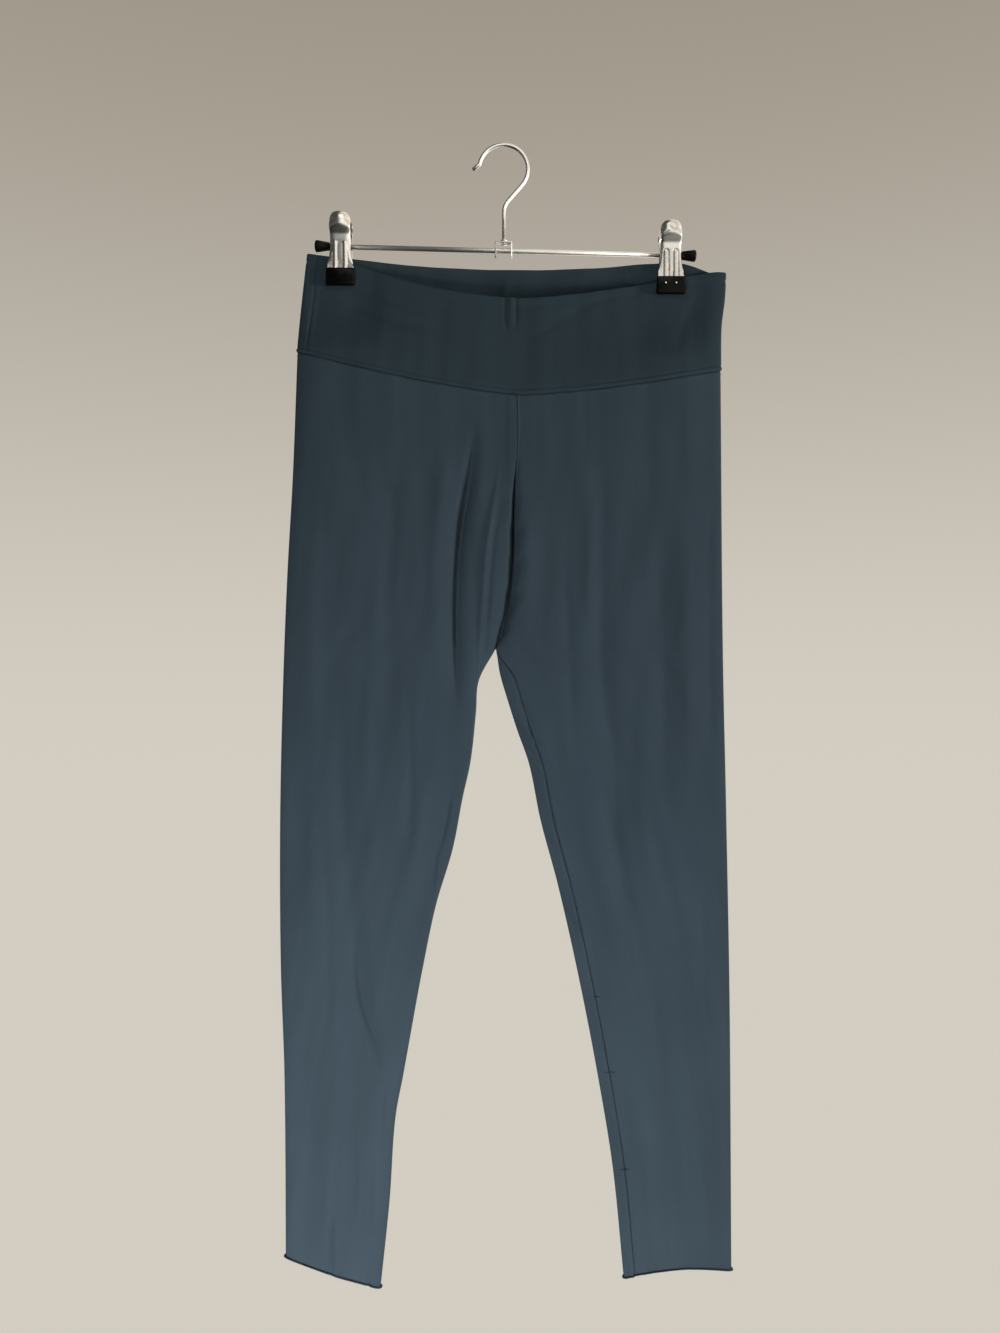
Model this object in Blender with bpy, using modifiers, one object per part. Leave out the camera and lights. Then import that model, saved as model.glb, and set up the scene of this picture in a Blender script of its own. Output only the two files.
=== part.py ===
"""Leggings with a wide waistband, hung by two spring clips from a wire-hook bar hanger.

Everything is at its real size in metres, +Z up, with the front facing -Y. The origin is the inside top of the
hanger's hook, where it rests on whatever holds it up. Right and left are the wearer's, so right is at -X.
The short tables are in millimetres; place() turns them into metres.
"""

from collections import namedtuple
from math import atan2, copysign, cos, exp, pi, radians, sin, sqrt

import bmesh
import bpy
from mathutils import Matrix, Vector

MM = 0.001

# --- driving sizes, in millimetres ----------------------------------------------------------------
GAP = 0.3                    # between pieces that meet
WAIST_GAP = 0.5              # between the middles of the walls at the waist seam, whose thicknesses differ
LEG_CLOTH = 1.2              # wall of the single jersey
BAND_CLOTH = 2.2             # wall of the folded double jersey
CROTCH = (-6.8, -452.0)      # x, z where the four leg seams meet
CENTRE_BACK_SHIFT = -10.0    # the back seam hangs this far to the right of the front one at the waist
SEAM_TUCK = 6.0              # how far the centre front seam sinks between the legs
SEAM_TUCK_REACH = {"leg_right": 3.5, "leg_left": 8.0}    # how far the sinking reaches into each leg
SEAM_INSET = 0.65            # further parting of the front seam's edges below the waist
CLOSING_START = 0.45         # share of the rise at which the body opening starts to close into two tubes
SHIFT_RUN = 0.05             # share of a leg over which its inseam moves off the fold
SHIFT_LOSS = 0.25            # share of that shift lost by the hem
FOLD_TRIM = 0.35             # extra gap at an inseam that lies on a fold

HOOK_RADIUS = 22.0           # of the wire's centre line
HOOK_WIRE = 3.5
HOOK_START, HOOK_END = 169.0, -41.0     # degrees round the hook, from its flicked tip to its straight neck
HOOK_TIP, HOOK_FLICK = 7.5, 40.0        # length of the flicked tip, and its angle in degrees under the level
NECK_BEND = 14.0             # radius of the bend into the stem
STEM_X = 0.45
COLLAR_HEIGHT, COLLAR_SWELL = 1.5, 1.6  # of the ring pressed into the wire over the saddle; swell as a factor
PEEN_HEIGHT, PEEN_SWELL = 1.6, 1.7      # of the wire's flattened end under the saddle's top
BAR_DIAMETER = 4.4
BAR_LEFT_END, BAR_RIGHT_END = 166.2, -162.5
BAR_SLOPE = -0.026           # the bar hangs a little lower at the wearer's left
BAR_Z = -94.0                # of the bar's centre line at x = 0
CLIP_X = {"right": -146.3, "left": 149.9}
JAW_WIDTH, JAW_TOP, JAW_BOTTOM, JAW_DEPTH = 26.5, -18.2, -35.2, 5.0
PLATE = 0.9                  # sheet steel of the clips
SADDLE_WIDTH, SADDLE_DEPTH, SADDLE_WALL = 15.6, 8.0, 1.1
SADDLE_TOP, SADDLE_BOTTOM = -86.0, -100.4

# --- the cloth's outline: x at each height --------------------------------------------------------
Edge = namedtuple("Edge", "z x")
Depth = namedtuple("Depth", "z front back")
Fold = namedtuple("Fold", "depth half_width fade line")

CENTRE_FRONT = (Edge(-224, 12.2), Edge(-270, 12.6), Edge(-306, 10.0), Edge(-340, 9.0), Edge(-381, 8.0),
                Edge(-420, 3.0), Edge(-452, -6.8))
RIGHT_SIDE = (Edge(-186.6, -184.6), Edge(-297, -188.8), Edge(-390, -194), Edge(-483, -197.6),
              Edge(-606, -200.3), Edge(-738, -199.7), Edge(-827, -196.7), Edge(-887, -195.8),
              Edge(-999.5, -195.3))
RIGHT_INSIDE = (Edge(-452, -7.5), Edge(-480, -22.5), Edge(-509, -25.2), Edge(-554, -30.2), Edge(-585, -37),
                Edge(-633, -46.4), Edge(-681, -60.8), Edge(-738, -72.9), Edge(-836, -90.8), Edge(-872, -97.5),
                Edge(-948, -103), Edge(-1027, -111.2))
LEFT_SIDE = (Edge(-203, 194.5), Edge(-456, 196.7), Edge(-597, 199.7), Edge(-767, 202.8),
             Edge(-1011.7, 204.4))
LEFT_INSIDE = (Edge(-452, -6.1), Edge(-475, -2.6), Edge(-498, 4.1), Edge(-525, 12.7), Edge(-554, 23),
               Edge(-606, 33.8), Edge(-663, 49.1), Edge(-749, 68.5), Edge(-842, 86.4), Edge(-917, 98.6),
               Edge(-1018.4, 108.8))
DEPTHS = (Depth(-186, 14, 11), Depth(-300, 14, 11), Depth(-452, 12, 10), Depth(-600, 10, 8.5),
          Depth(-740, 8.5, 7.5), Depth(-880, 7, 6), Depth(-1028, 6, 5.5))
FOLD_POWER = 0.55            # lower makes the tubes boxier at their side folds

# The waistband's upper edges, from the right side fold to the left one.
BAND_TOP_FRONT = ((-176, -97.7), (-146, -102.5), (-132, -108), (-77, -123.8), (-36, -131.5), (15, -136.3),
                  (66, -132.1), (114, -125.3), (135, -122.5), (160, -118.5), (188.6, -115.2), (199.4, -114.7))
BAND_TOP_BACK = ((-176, -97.7), (-146, -100.5), (-135, -101.8), (-84, -108), (0, -112), (80, -110.8),
                 (135, -105.9), (160, -105.6), (188.6, -114.2), (199.4, -114.7))
BAND_RIGHT_EDGE = (Edge(-97.7, -176), Edge(-140, -180.5), Edge(-186.6, -184.6))
BAND_LEFT_EDGE = (Edge(-114.7, 199.4), Edge(-135.5, 198.5), Edge(-163.4, 195.2), Edge(-203, 194.5))
BAND_BULGE_FRONT, BAND_BULGE_BACK, BAND_SIDE_BULGE = 7.5, 3.0, 3.2
BAND_SEAM_SHARE = 0.024      # share of the band's width from a side fold to its side seam
BAND_SEAM_STEP = 0.35        # share of that at which a column stands between the fold and the seam
PINCHED = BAND_CLOTH / 2 + GAP / 2      # from the hanger's plane to each layer's middle in a clip
PINCH_HALF, PINCH_FADE, PINCH_DROP = 17.0, 26.0, 40.0    # a clip's pressed patch, and its fading
PINCH_MARGIN = 3.0           # how far the pressed patch reaches below a jaw

# The largest folds of the fronts: soft troughs along a line of (z, x) points.
RIGHT_FOLDS = (
    Fold(7.0, 9.0, 60, (Edge(-262, -24), Edge(-339, -36.5), Edge(-385, -41), Edge(-458, -42),
                        Edge(-500, -43))),
    Fold(2.2, 11.0, 90, (Edge(-470, -141), Edge(-597, -143.6), Edge(-722, -129.6), Edge(-806, -115),
                         Edge(-878, -99))),
)
LEFT_FOLDS = (
    Fold(1.8, 12.0, 90, (Edge(-490, 91), Edge(-606, 95), Edge(-720, 104), Edge(-800, 108))),
)

# seam_shift is how far the inseam sits from the leg's inner fold, + on the front.
Leg = namedtuple("Leg", "name side inside outer_hem_z inner_hem_z hem_bow waist_side_z waist_bow"
                        " seam_shift folds")
LEGS = (
    Leg("leg_right", RIGHT_SIDE, RIGHT_INSIDE, -999.5, -1027.4, 0.0, -186.6, -4.3, -9.0, RIGHT_FOLDS),
    Leg("leg_left", LEFT_SIDE, LEFT_INSIDE, -1011.7, -1018.4, 6.5, -203.0, -3.8, 13.0, LEFT_FOLDS),
)
WAIST_SEAM_FRONT, WAIST_SEAM_BACK = -223.7, -200.0   # z at the centre front and centre back

# Mesh density.
LEG_FRONT_COLUMNS, LEG_BACK_COLUMNS = 17, 9
RISE_ROWS, LEG_ROWS = 10, 23
BAND_ROWS = 6
BAND_STATIONS = (3, 2, 13, 2, 4)        # columns between side fold, clip edges, clip edges and side fold
BAND_EDGE_SHARES = (0.003, 0.012)       # extra columns beside each side fold
CLIP_STATION = 15.5          # from a clip's middle to the columns at its edges

COLOURS = {
    "cloth": (0.048, 0.078, 0.105, 1),
    "band": (0.040, 0.067, 0.090, 1),
    "chrome": (0.80, 0.80, 0.79, 1),
    "black": (0.012, 0.012, 0.012, 1),
}


# --- small tools ----------------------------------------------------------------------------------
def place(x, y, z):
    return Vector((x * MM, y * MM, z * MM))


def smoothstep(value):
    value = min(1.0, max(0.0, value))
    return value * value * (3 - 2 * value)


def curve_at(points, at):
    """A smooth curve through (at, value) points in either order, held level past its ends."""
    rows = sorted((float(p[0]), float(p[1])) for p in points)
    if at <= rows[0][0]:
        return rows[0][1]
    if at >= rows[-1][0]:
        return rows[-1][1]
    i = max(k for k in range(len(rows) - 1) if rows[k][0] <= at)
    (x0, y0), (x1, y1) = rows[i], rows[i + 1]
    chord = (y1 - y0) / (x1 - x0)

    def slope(k):
        if k in (0, len(rows) - 1):
            return chord
        before = (rows[k][1] - rows[k - 1][1]) / (rows[k][0] - rows[k - 1][0])
        after = (rows[k + 1][1] - rows[k][1]) / (rows[k + 1][0] - rows[k][0])
        return (before + after) / 2

    t = (at - x0) / (x1 - x0)
    width = x1 - x0
    start, end = slope(i), slope(i + 1)
    return (y0 * (1 + 2 * t) * (1 - t) ** 2 + y1 * t * t * (3 - 2 * t)
            + width * (start * t * (1 - t) ** 2 - end * t * t * (1 - t)))


def depths_at(z):
    return (curve_at([(d.z, d.front) for d in DEPTHS], z), curve_at([(d.z, d.back) for d in DEPTHS], z))


def roundness(share):
    """How full a flattened tube is at this share of its width: 0 at a fold, 1 in the middle."""
    share = min(1.0, max(0.0, share))
    return (2 * sqrt(share * (1 - share))) ** FOLD_POWER


def column_share(t):
    """Spaces columns closer together near the folds."""
    return 0.3 * t + 0.7 * (1 - cos(pi * t)) / 2


def material(name, colour, roughness_value, metallic=0.0):
    made = bpy.data.materials.new(name)
    made.use_nodes = True
    shader = made.node_tree.nodes["Principled BSDF"]
    shader.inputs["Base Color"].default_value = colour
    shader.inputs["Roughness"].default_value = roughness_value
    shader.inputs["Metallic"].default_value = metallic
    return made


def add_object(name, mesh, finish):
    made = bpy.data.objects.new(name, mesh)
    parts.objects.link(made)
    mesh.materials.append(finish)
    return made


def trim_ends(points, at_start, at_end):
    """Moves the first and last point of a section inward, which leaves the gap at a seam."""
    for end, neighbour, amount in ((0, 1, at_start), (-1, -2, at_end)):
        along = points[neighbour] - points[end]
        points[end] = points[end] + along.normalized() * amount * MM


def cloth_sheet(name, rows, thickness, finish):
    """An open sheet through rows of points, given a wall on both sides of its middle."""
    across, down = len(rows[0]), len(rows)
    mesh = bpy.data.meshes.new(name)
    bm = bmesh.new()
    bmesh.ops.create_grid(bm, x_segments=across - 1, y_segments=down - 1, size=1)
    for vertex in bm.verts:
        column = round((vertex.co.x + 1) / 2 * (across - 1))
        row = round((1 - vertex.co.y) / 2 * (down - 1))
        vertex.co = rows[row][column]
    bmesh.ops.recalc_face_normals(bm, faces=bm.faces)
    bm.to_mesh(mesh)
    bm.free()
    mesh.shade_smooth()
    made = add_object(name, mesh, finish)
    wall = made.modifiers.new("wall", "SOLIDIFY")
    wall.thickness = thickness * MM
    wall.offset = 0
    return made


# --- the legs -------------------------------------------------------------------------------------
def fold_depth(folds, x, z):
    total = 0.0
    for fold in folds:
        from_top = fold.line[0].z - z
        to_bottom = z - fold.line[-1].z
        window = smoothstep(from_top / fold.fade + 0.5) * smoothstep(to_bottom / fold.fade + 0.5)
        offset = (x - curve_at(fold.line, z)) / fold.half_width
        total += fold.depth * window * exp(-offset * offset)
    return total


def leg_section(leg, down):
    """One row of a leg, from its front seam edge round the side fold to its back seam edge.

    down runs from 0 at the waist seam through 1 at the crotch to 2 at the hem.
    """
    side_sign = 1 if leg.side[0].x > 0 else -1
    rise = min(down, 1.0)
    below = max(down - 1.0, 0.0)
    if below == 0:
        inner_z = WAIST_SEAM_FRONT + (CROTCH[1] - WAIST_SEAM_FRONT) * rise
        back_z = WAIST_SEAM_BACK + (CROTCH[1] - WAIST_SEAM_BACK) * rise
        outer_z = leg.waist_side_z + (CROTCH[1] - leg.waist_side_z) * rise
        inset = GAP / 2 + SEAM_INSET * smoothstep(rise / 0.25)
        inner_x = curve_at(CENTRE_FRONT, inner_z) + side_sign * inset
        back_x = inner_x + CENTRE_BACK_SHIFT * (1 - rise)
    else:
        inner_z = CROTCH[1] + (leg.inner_hem_z - CROTCH[1]) * below
        outer_z = CROTCH[1] + (leg.outer_hem_z - CROTCH[1]) * below
        back_z = inner_z
        inner_x = back_x = curve_at(leg.inside, inner_z)
    outer_x = curve_at(leg.side, outer_z)
    openness = 1 - smoothstep((rise - CLOSING_START) / (1 - CLOSING_START))
    tuck = SEAM_TUCK * smoothstep(rise / 0.4) * openness
    bow = leg.waist_bow * (1 - rise) + leg.hem_bow * below ** 6
    shift = leg.seam_shift * smoothstep(below / SHIFT_RUN)
    if below >= SHIFT_RUN:
        shift *= 1 - SHIFT_LOSS * below
    shift_angle = copysign(2 * sqrt(min(1, abs(shift) / abs(outer_x - inner_x))), shift)

    steps = [pi * k / LEG_FRONT_COLUMNS for k in range(LEG_FRONT_COLUMNS + 1)]
    steps += [pi + pi * k / LEG_BACK_COLUMNS for k in range(1, LEG_BACK_COLUMNS + 1)]
    points = []
    for step in steps:
        turn = step + shift_angle * abs(1 - step / pi)
        on_back = (turn > pi) != (turn > 2 * pi or turn < 0)
        share = column_share(abs(((turn + pi) % (2 * pi)) - pi) / pi)
        start_x = back_x if on_back else inner_x
        start_z = back_z if on_back else inner_z
        x = start_x + (outer_x - start_x) * share
        z = start_z + (outer_z - start_z) * share + bow * 4 * share * (1 - share)
        front, back = depths_at(z)
        full = roundness(share)
        if share < 0.5:
            full = openness + (1 - openness) * full
        if on_back:
            y = back * full
        else:
            from_seam = abs(x - start_x) / SEAM_TUCK_REACH[leg.name]
            y = -front * full + tuck * exp(-from_seam * from_seam)
            y += fold_depth(leg.folds, x, z) * full
        points.append(place(x, y, z))
    at_fold = FOLD_TRIM * (1 - smoothstep(abs(shift) / 5)) * (1 - openness)
    trim = 0.0 if down < 1 else GAP / 2
    trim_ends(points, trim + at_fold, trim + at_fold)
    if down == 0:
        points = [p - place(0, 0, WAIST_GAP / 2) for p in points]
    return points


def build_legs():
    for leg in LEGS:
        rows = [leg_section(leg, k / RISE_ROWS) for k in range(RISE_ROWS + 1)]
        rows += [leg_section(leg, 1 + k / LEG_ROWS) for k in range(1, LEG_ROWS + 1)]
        cloth_sheet(leg.name, rows, LEG_CLOTH, material(leg.name, COLOURS["cloth"], 0.9))


# --- the waistband --------------------------------------------------------------------------------
def waist_seam_z(x, back):
    """Height of the waist seam at x, the same line that the legs' first rows follow."""
    centre_x = CENTRE_FRONT[0].x + (CENTRE_BACK_SHIFT if back else 0)
    leg = LEGS[0] if x < centre_x else LEGS[1]
    centre_z = WAIST_SEAM_BACK if back else WAIST_SEAM_FRONT
    outer_x = curve_at(leg.side, leg.waist_side_z)
    share = min(1.0, abs(x - centre_x) / abs(outer_x - centre_x))
    return centre_z + (leg.waist_side_z - centre_z) * share + leg.waist_bow * 4 * share * (1 - share)


def waist_seam_depth(x, z, back):
    """How far the cloth stands from the hanger's plane along the waist seam."""
    leg = LEGS[0] if x < CENTRE_FRONT[0].x else LEGS[1]
    outer_x = curve_at(leg.side, leg.waist_side_z)
    share = min(1.0, abs(x - CENTRE_FRONT[0].x) / abs(outer_x - CENTRE_FRONT[0].x))
    full = 1.0 if share < 0.5 else roundness(share)
    return depths_at(z)[1 if back else 0] * full


def band_top_depth(x, left_fold, right_fold, back):
    """How far the band's upper edge stands out: pinched in the clips, open between them."""
    start, end = CLIP_X["right"], CLIP_X["left"]
    if start < x < end:
        bulge = BAND_BULGE_BACK if back else BAND_BULGE_FRONT
        return PINCHED + bulge * sin(pi * (x - start) / (end - start)) ** 1.3
    if x <= start:
        share = (start - x) / (start - right_fold)
    else:
        share = (x - end) / (left_fold - end)
    rounding = sqrt(max(0.0, 1 - share ** 6))
    return (PINCHED + BAND_SIDE_BULGE * sin(pi * share * 0.5) ** 2) * rounding


def band_side_x(edge, seam_z, down):
    """x of a side fold, down from the band's top to the waist seam."""
    return curve_at(edge, edge[0].z + (seam_z - edge[0].z) * down)


def band_point(x_share, back, down):
    """A point of the band: x_share from right fold to left, down from its top to the seam."""
    top_line = BAND_TOP_BACK if back else BAND_TOP_FRONT
    top_right, top_left = BAND_RIGHT_EDGE[0].x, BAND_LEFT_EDGE[0].x
    top_x = top_right + (top_left - top_right) * x_share
    low_right, low_left = RIGHT_SIDE[0].x, LEFT_SIDE[0].x
    low_x = low_right + (low_left - low_right) * x_share
    top_z = curve_at(top_line, top_x)
    low_z = waist_seam_z(low_x, back) + WAIST_GAP / 2
    z = top_z + (low_z - top_z) * down
    right_x = band_side_x(BAND_RIGHT_EDGE, LEGS[0].waist_side_z, down)
    left_x = band_side_x(BAND_LEFT_EDGE, LEGS[1].waist_side_z, down)
    x = right_x + (left_x - right_x) * x_share
    top_depth = band_top_depth(top_x, top_left, top_right, back)
    low_depth = waist_seam_depth(low_x, low_z, back)
    depth = top_depth + (low_depth - top_depth) * smoothstep(down)
    for clip_x in CLIP_X.values():
        beside = 1 - smoothstep((abs(x - clip_x) - PINCH_HALF) / PINCH_FADE)
        jaw_end = bar_z(clip_x) + JAW_BOTTOM - PINCH_MARGIN
        above = 1 - smoothstep((jaw_end - z) / PINCH_DROP)
        depth += (PINCHED - depth) * beside * above
    return place(x, depth if back else -depth, z)


def band_columns():
    """Shares of the band's width at which its columns stand, with columns at each clip's edges."""
    right, left = BAND_RIGHT_EDGE[0].x, BAND_LEFT_EDGE[0].x
    stations = [right]
    for clip_x in CLIP_X.values():
        stations += [clip_x - CLIP_STATION, clip_x + CLIP_STATION]
    stations.append(left)
    shares = [0.0, *BAND_EDGE_SHARES]
    for start, end, count in zip(stations, stations[1:], BAND_STATIONS):
        for k in range(1, count + 1):
            x = start + (end - start) * k / count
            shares.append((x - right) / (left - right))
    return shares[:-1] + [1 - share for share in reversed(BAND_EDGE_SHARES)] + [1.0]


def build_band():
    """Front and back halves, joined just in front of the right fold and just behind the left."""
    shares = band_columns()
    seam = BAND_SEAM_SHARE
    round_fold = (seam * BAND_SEAM_STEP, seam)
    front = [(seam, False)]
    front += [(share, False) for share in shares if share > seam]
    front += [(1 - share, True) for share in round_fold]
    back = [(1 - seam, True)]
    back += [(share, True) for share in reversed(shares) if share < 1 - seam - BAND_EDGE_SHARES[0]]
    back += [(share, False) for share in round_fold]
    for name, columns in (("waistband_front", front), ("waistband_back", back)):
        rows = []
        for k in range(BAND_ROWS + 1):
            row = [band_point(share, is_back, k / BAND_ROWS) for share, is_back in columns]
            trim_ends(row, GAP, GAP)
            rows.append(row)
        cloth_sheet(name, rows, BAND_CLOTH, material(name, COLOURS["band"], 0.9))


# --- the hanger -----------------------------------------------------------------------------------
def bar_z(x):
    return BAR_Z + BAR_SLOPE * x


def hook_route():
    """The wire's centre line in the XZ plane, from its tip over the hook and down to the stem."""
    centre_z = -(HOOK_RADIUS - HOOK_WIRE / 2)
    start, end = radians(HOOK_START), radians(HOOK_END)
    first = Vector((HOOK_RADIUS * cos(start), centre_z + HOOK_RADIUS * sin(start)))
    flick = -Vector((cos(radians(HOOK_FLICK)), sin(radians(HOOK_FLICK))))
    route = [first + flick * HOOK_TIP, first + flick * HOOK_TIP * 0.5, first + flick * 0.8]
    turns = 30
    for k in range(turns + 1):
        angle = start + (end - start) * k / turns
        route.append(Vector((HOOK_RADIUS * cos(angle), centre_z + HOOK_RADIUS * sin(angle))))
    direction = Vector((sin(end), -cos(end)))
    lean = -end
    straight = (route[-1].x - STEM_X - NECK_BEND * (1 - cos(lean))) / abs(direction.x)
    neck = route[-1] + direction * straight
    bends = 6
    for k in range(bends + 1):
        angle = lean * (1 - k / bends)
        across = NECK_BEND * (cos(angle) - cos(lean))
        drop = NECK_BEND * (sin(lean) - sin(angle))
        route.append(Vector((neck.x - across, neck.y - drop)))
    return route


def build_hook():
    curve = bpy.data.curves.new("hanger_hook", "CURVE")
    curve.dimensions = "3D"
    curve.bevel_depth = HOOK_WIRE / 2 * MM
    curve.bevel_resolution = 3
    curve.use_fill_caps = True
    route = [(p.x, p.y, 1.0) for p in hook_route()]
    collar = SADDLE_TOP + GAP
    peen = SADDLE_TOP - SADDLE_WALL - GAP
    route += [(STEM_X, collar + COLLAR_HEIGHT, 1.0), (STEM_X, collar + COLLAR_HEIGHT - 0.1, COLLAR_SWELL)]
    route += [(STEM_X, collar, COLLAR_SWELL), (STEM_X, collar - 0.02, 1.0)]
    route += [(STEM_X, peen, 1.0), (STEM_X, peen - 0.02, PEEN_SWELL)]
    route += [(STEM_X, peen - PEEN_HEIGHT + 0.4, PEEN_SWELL - 0.2), (STEM_X, peen - PEEN_HEIGHT, 0.8)]
    spline = curve.splines.new("POLY")
    spline.points.add(len(route) - 1)
    for point, (x, z, thickness) in zip(spline.points, route):
        point.co = (*place(x, 0, z), 1)
        point.radius = thickness
    made = bpy.data.objects.new("hanger_hook", curve)
    parts.objects.link(made)
    curve.materials.append(material("hook chrome", COLOURS["chrome"], 0.15, 1.0))


def along_bar(x):
    """Turns a shape made along +Z so that it lies along the bar at x, pointing to +X."""
    tilt = atan2(1, BAR_SLOPE)
    return Matrix.Translation(place(x, 0, bar_z(x))) @ Matrix.Rotation(tilt, 4, "Y")


def cylinder(name, radius, length, segments, matrix, finish):
    mesh = bpy.data.meshes.new(name)
    bm = bmesh.new()
    bmesh.ops.create_cone(bm, cap_ends=True, segments=segments, radius1=radius * MM, radius2=radius * MM,
                          depth=length * MM)
    bmesh.ops.transform(bm, matrix=matrix, verts=bm.verts)
    bm.to_mesh(mesh)
    bm.free()
    mesh.shade_smooth()
    mesh.set_sharp_from_angle(angle=radians(40))
    return add_object(name, mesh, finish)


def build_bar():
    middle = (BAR_LEFT_END + BAR_RIGHT_END) / 2
    length = (BAR_LEFT_END - BAR_RIGHT_END) * sqrt(1 + BAR_SLOPE ** 2)
    finish = material("bar chrome", COLOURS["chrome"], 0.15, 1.0)
    cylinder("hanger_bar", BAR_DIAMETER / 2, length, 24, along_bar(middle), finish)
    for wearer_side, bar_end, outward in (("right", BAR_RIGHT_END, -1), ("left", BAR_LEFT_END, 1)):
        build_cap(wearer_side, bar_end, outward)


def build_cap(wearer_side, bar_end, outward):
    """A flared black cap, turned round the bar, with a blind bore over the bar's end."""
    bore = BAR_DIAMETER / 2 + GAP
    profile = ((0, 7.2), (3.8, 7.0), (5.1, 6.2), (5.3, 5.0), (3.6, -5.9), (bore, -6.1), (bore, GAP), (0, GAP))
    mesh = bpy.data.meshes.new(f"bar_cap_{wearer_side}")
    bm = bmesh.new()
    rim = [bm.verts.new(place(radius, 0, height)) for radius, height in profile]
    for start, end in zip(rim, rim[1:]):
        bm.edges.new((start, end))
    bmesh.ops.spin(bm, geom=bm.verts[:] + bm.edges[:], axis=(0, 0, 1), cent=(0, 0, 0), angle=2 * pi,
                   steps=24, use_merge=True)
    bmesh.ops.remove_doubles(bm, verts=bm.verts, dist=1e-6)
    matrix = along_bar(bar_end)
    if outward < 0:
        matrix = matrix @ Matrix.Rotation(pi, 4, "Y")
    bmesh.ops.transform(bm, matrix=matrix, verts=bm.verts)
    bmesh.ops.recalc_face_normals(bm, faces=bm.faces)
    bm.to_mesh(mesh)
    bm.free()
    mesh.shade_smooth()
    mesh.set_sharp_from_angle(angle=radians(40))
    add_object(mesh.name, mesh, material(mesh.name, COLOURS["black"], 0.3))


def box(name, low, high, collection, finish=None):
    mesh = bpy.data.meshes.new(name)
    bm = bmesh.new()
    bmesh.ops.create_cube(bm, size=1)
    size = [(b - a) * MM for a, b in zip(low, high)]
    middle = place(*[(a + b) / 2 for a, b in zip(low, high)])
    matrix = Matrix.Translation(middle) @ Matrix.Diagonal((*size, 1))
    bmesh.ops.transform(bm, matrix=matrix, verts=bm.verts)
    bm.to_mesh(mesh)
    bm.free()
    made = bpy.data.objects.new(name, mesh)
    collection.objects.link(made)
    if finish:
        mesh.materials.append(finish)
    return made


def as_cutter(made):
    for collection in made.users_collection:
        collection.objects.unlink(made)
    cutters.objects.link(made)
    made.hide_render = True
    made.display_type = "WIRE"
    return made


def cut(piece, cutter):
    modifier = piece.modifiers.new(cutter.name, "BOOLEAN")
    modifier.operation = "DIFFERENCE"
    modifier.object = cutter


def build_saddle():
    """A bent strip whose two ears hang the bar, with the hook's peened end through its top."""
    half, deep = SADDLE_WIDTH / 2, SADDLE_DEPTH / 2
    finish = material("saddle chrome", COLOURS["chrome"], 0.2, 1.0)
    saddle = box("hook_saddle", (-half, -deep, SADDLE_BOTTOM), (half, deep, SADDLE_TOP), parts, finish)
    rounding = saddle.modifiers.new("bent corners", "BEVEL")
    rounding.width = 1.2 * MM
    rounding.segments = 2
    inside = half - SADDLE_WALL
    past = deep + 5
    low, high = (-inside, -past, SADDLE_BOTTOM - 5), (inside, past, SADDLE_TOP - SADDLE_WALL)
    cut(saddle, as_cutter(box("saddle_inside", low, high, cutters)))
    bar_hole = cylinder("saddle_bar_holes", BAR_DIAMETER / 2 + GAP, 2 * SADDLE_WIDTH, 24, along_bar(0), None)
    cut(saddle, as_cutter(bar_hole))
    at_top = Matrix.Translation(place(STEM_X, 0, SADDLE_TOP))
    hook_hole = cylinder("saddle_hook_hole", HOOK_WIRE / 2 + GAP, 6, 24, at_top, None)
    cut(saddle, as_cutter(hook_hole))


# --- the clips ------------------------------------------------------------------------------------
# A clip's plate, from its thumb dome down to the end inside the jaw, in its own frame with the bar
# at z = 0: face is how far its middle stands from the hanger's plane, and flange is how far its sides
# turn back.
PlateRow = namedtuple("PlateRow", "z half_width face flange")
PLATE_ROWS = (
    PlateRow(33.0, 1.2, 9.8, 0.0), PlateRow(32.2, 4.6, 11.3, 0.4), PlateRow(30.4, 7.2, 12.8, 1.0),
    PlateRow(27.5, 8.9, 13.8, 1.6), PlateRow(23.6, 9.6, 13.9, 2.0), PlateRow(18.5, 9.4, 12.4, 2.0),
    PlateRow(14.5, 9.1, 9.8, 1.6), PlateRow(12.5, 8.8, 8.2, 1.6), PlateRow(6.0, 8.8, 6.8, 2.6),
    PlateRow(0.0, 9.0, 6.2, 3.4), PlateRow(-6.0, 9.2, 5.9, 2.2), PlateRow(-12.0, 9.8, 5.6, 1.0),
    PlateRow(-17.5, 11.2, 5.3, 0.0), PlateRow(-24.0, 11.2, 5.3, 0.0), PlateRow(-30.0, 11.2, 5.3, 0.0),
)
PLATE_COLUMNS = 10
JAW_FACE = BAND_CLOTH + GAP / 2 + GAP     # where a jaw's gripping face lies, just clear of both cloth layers


def clip_frame(clip_x):
    return Matrix.Translation(place(clip_x, 0, bar_z(clip_x)))


def build_plate(name, clip_x, facing, finish):
    """facing is -1 for the front plate and 1 for the back one."""
    rows = []
    for row in PLATE_ROWS:
        across = []
        for k in range(PLATE_COLUMNS + 1):
            share = -1 + 2 * k / PLATE_COLUMNS
            y = facing * (row.face - row.flange * abs(share) ** 5)
            x = row.half_width * sin(share * pi / 2)
            across.append(clip_frame(clip_x) @ place(x, y, row.z))
        rows.append(across)
    return cloth_sheet(name, rows, PLATE, finish)


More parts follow.
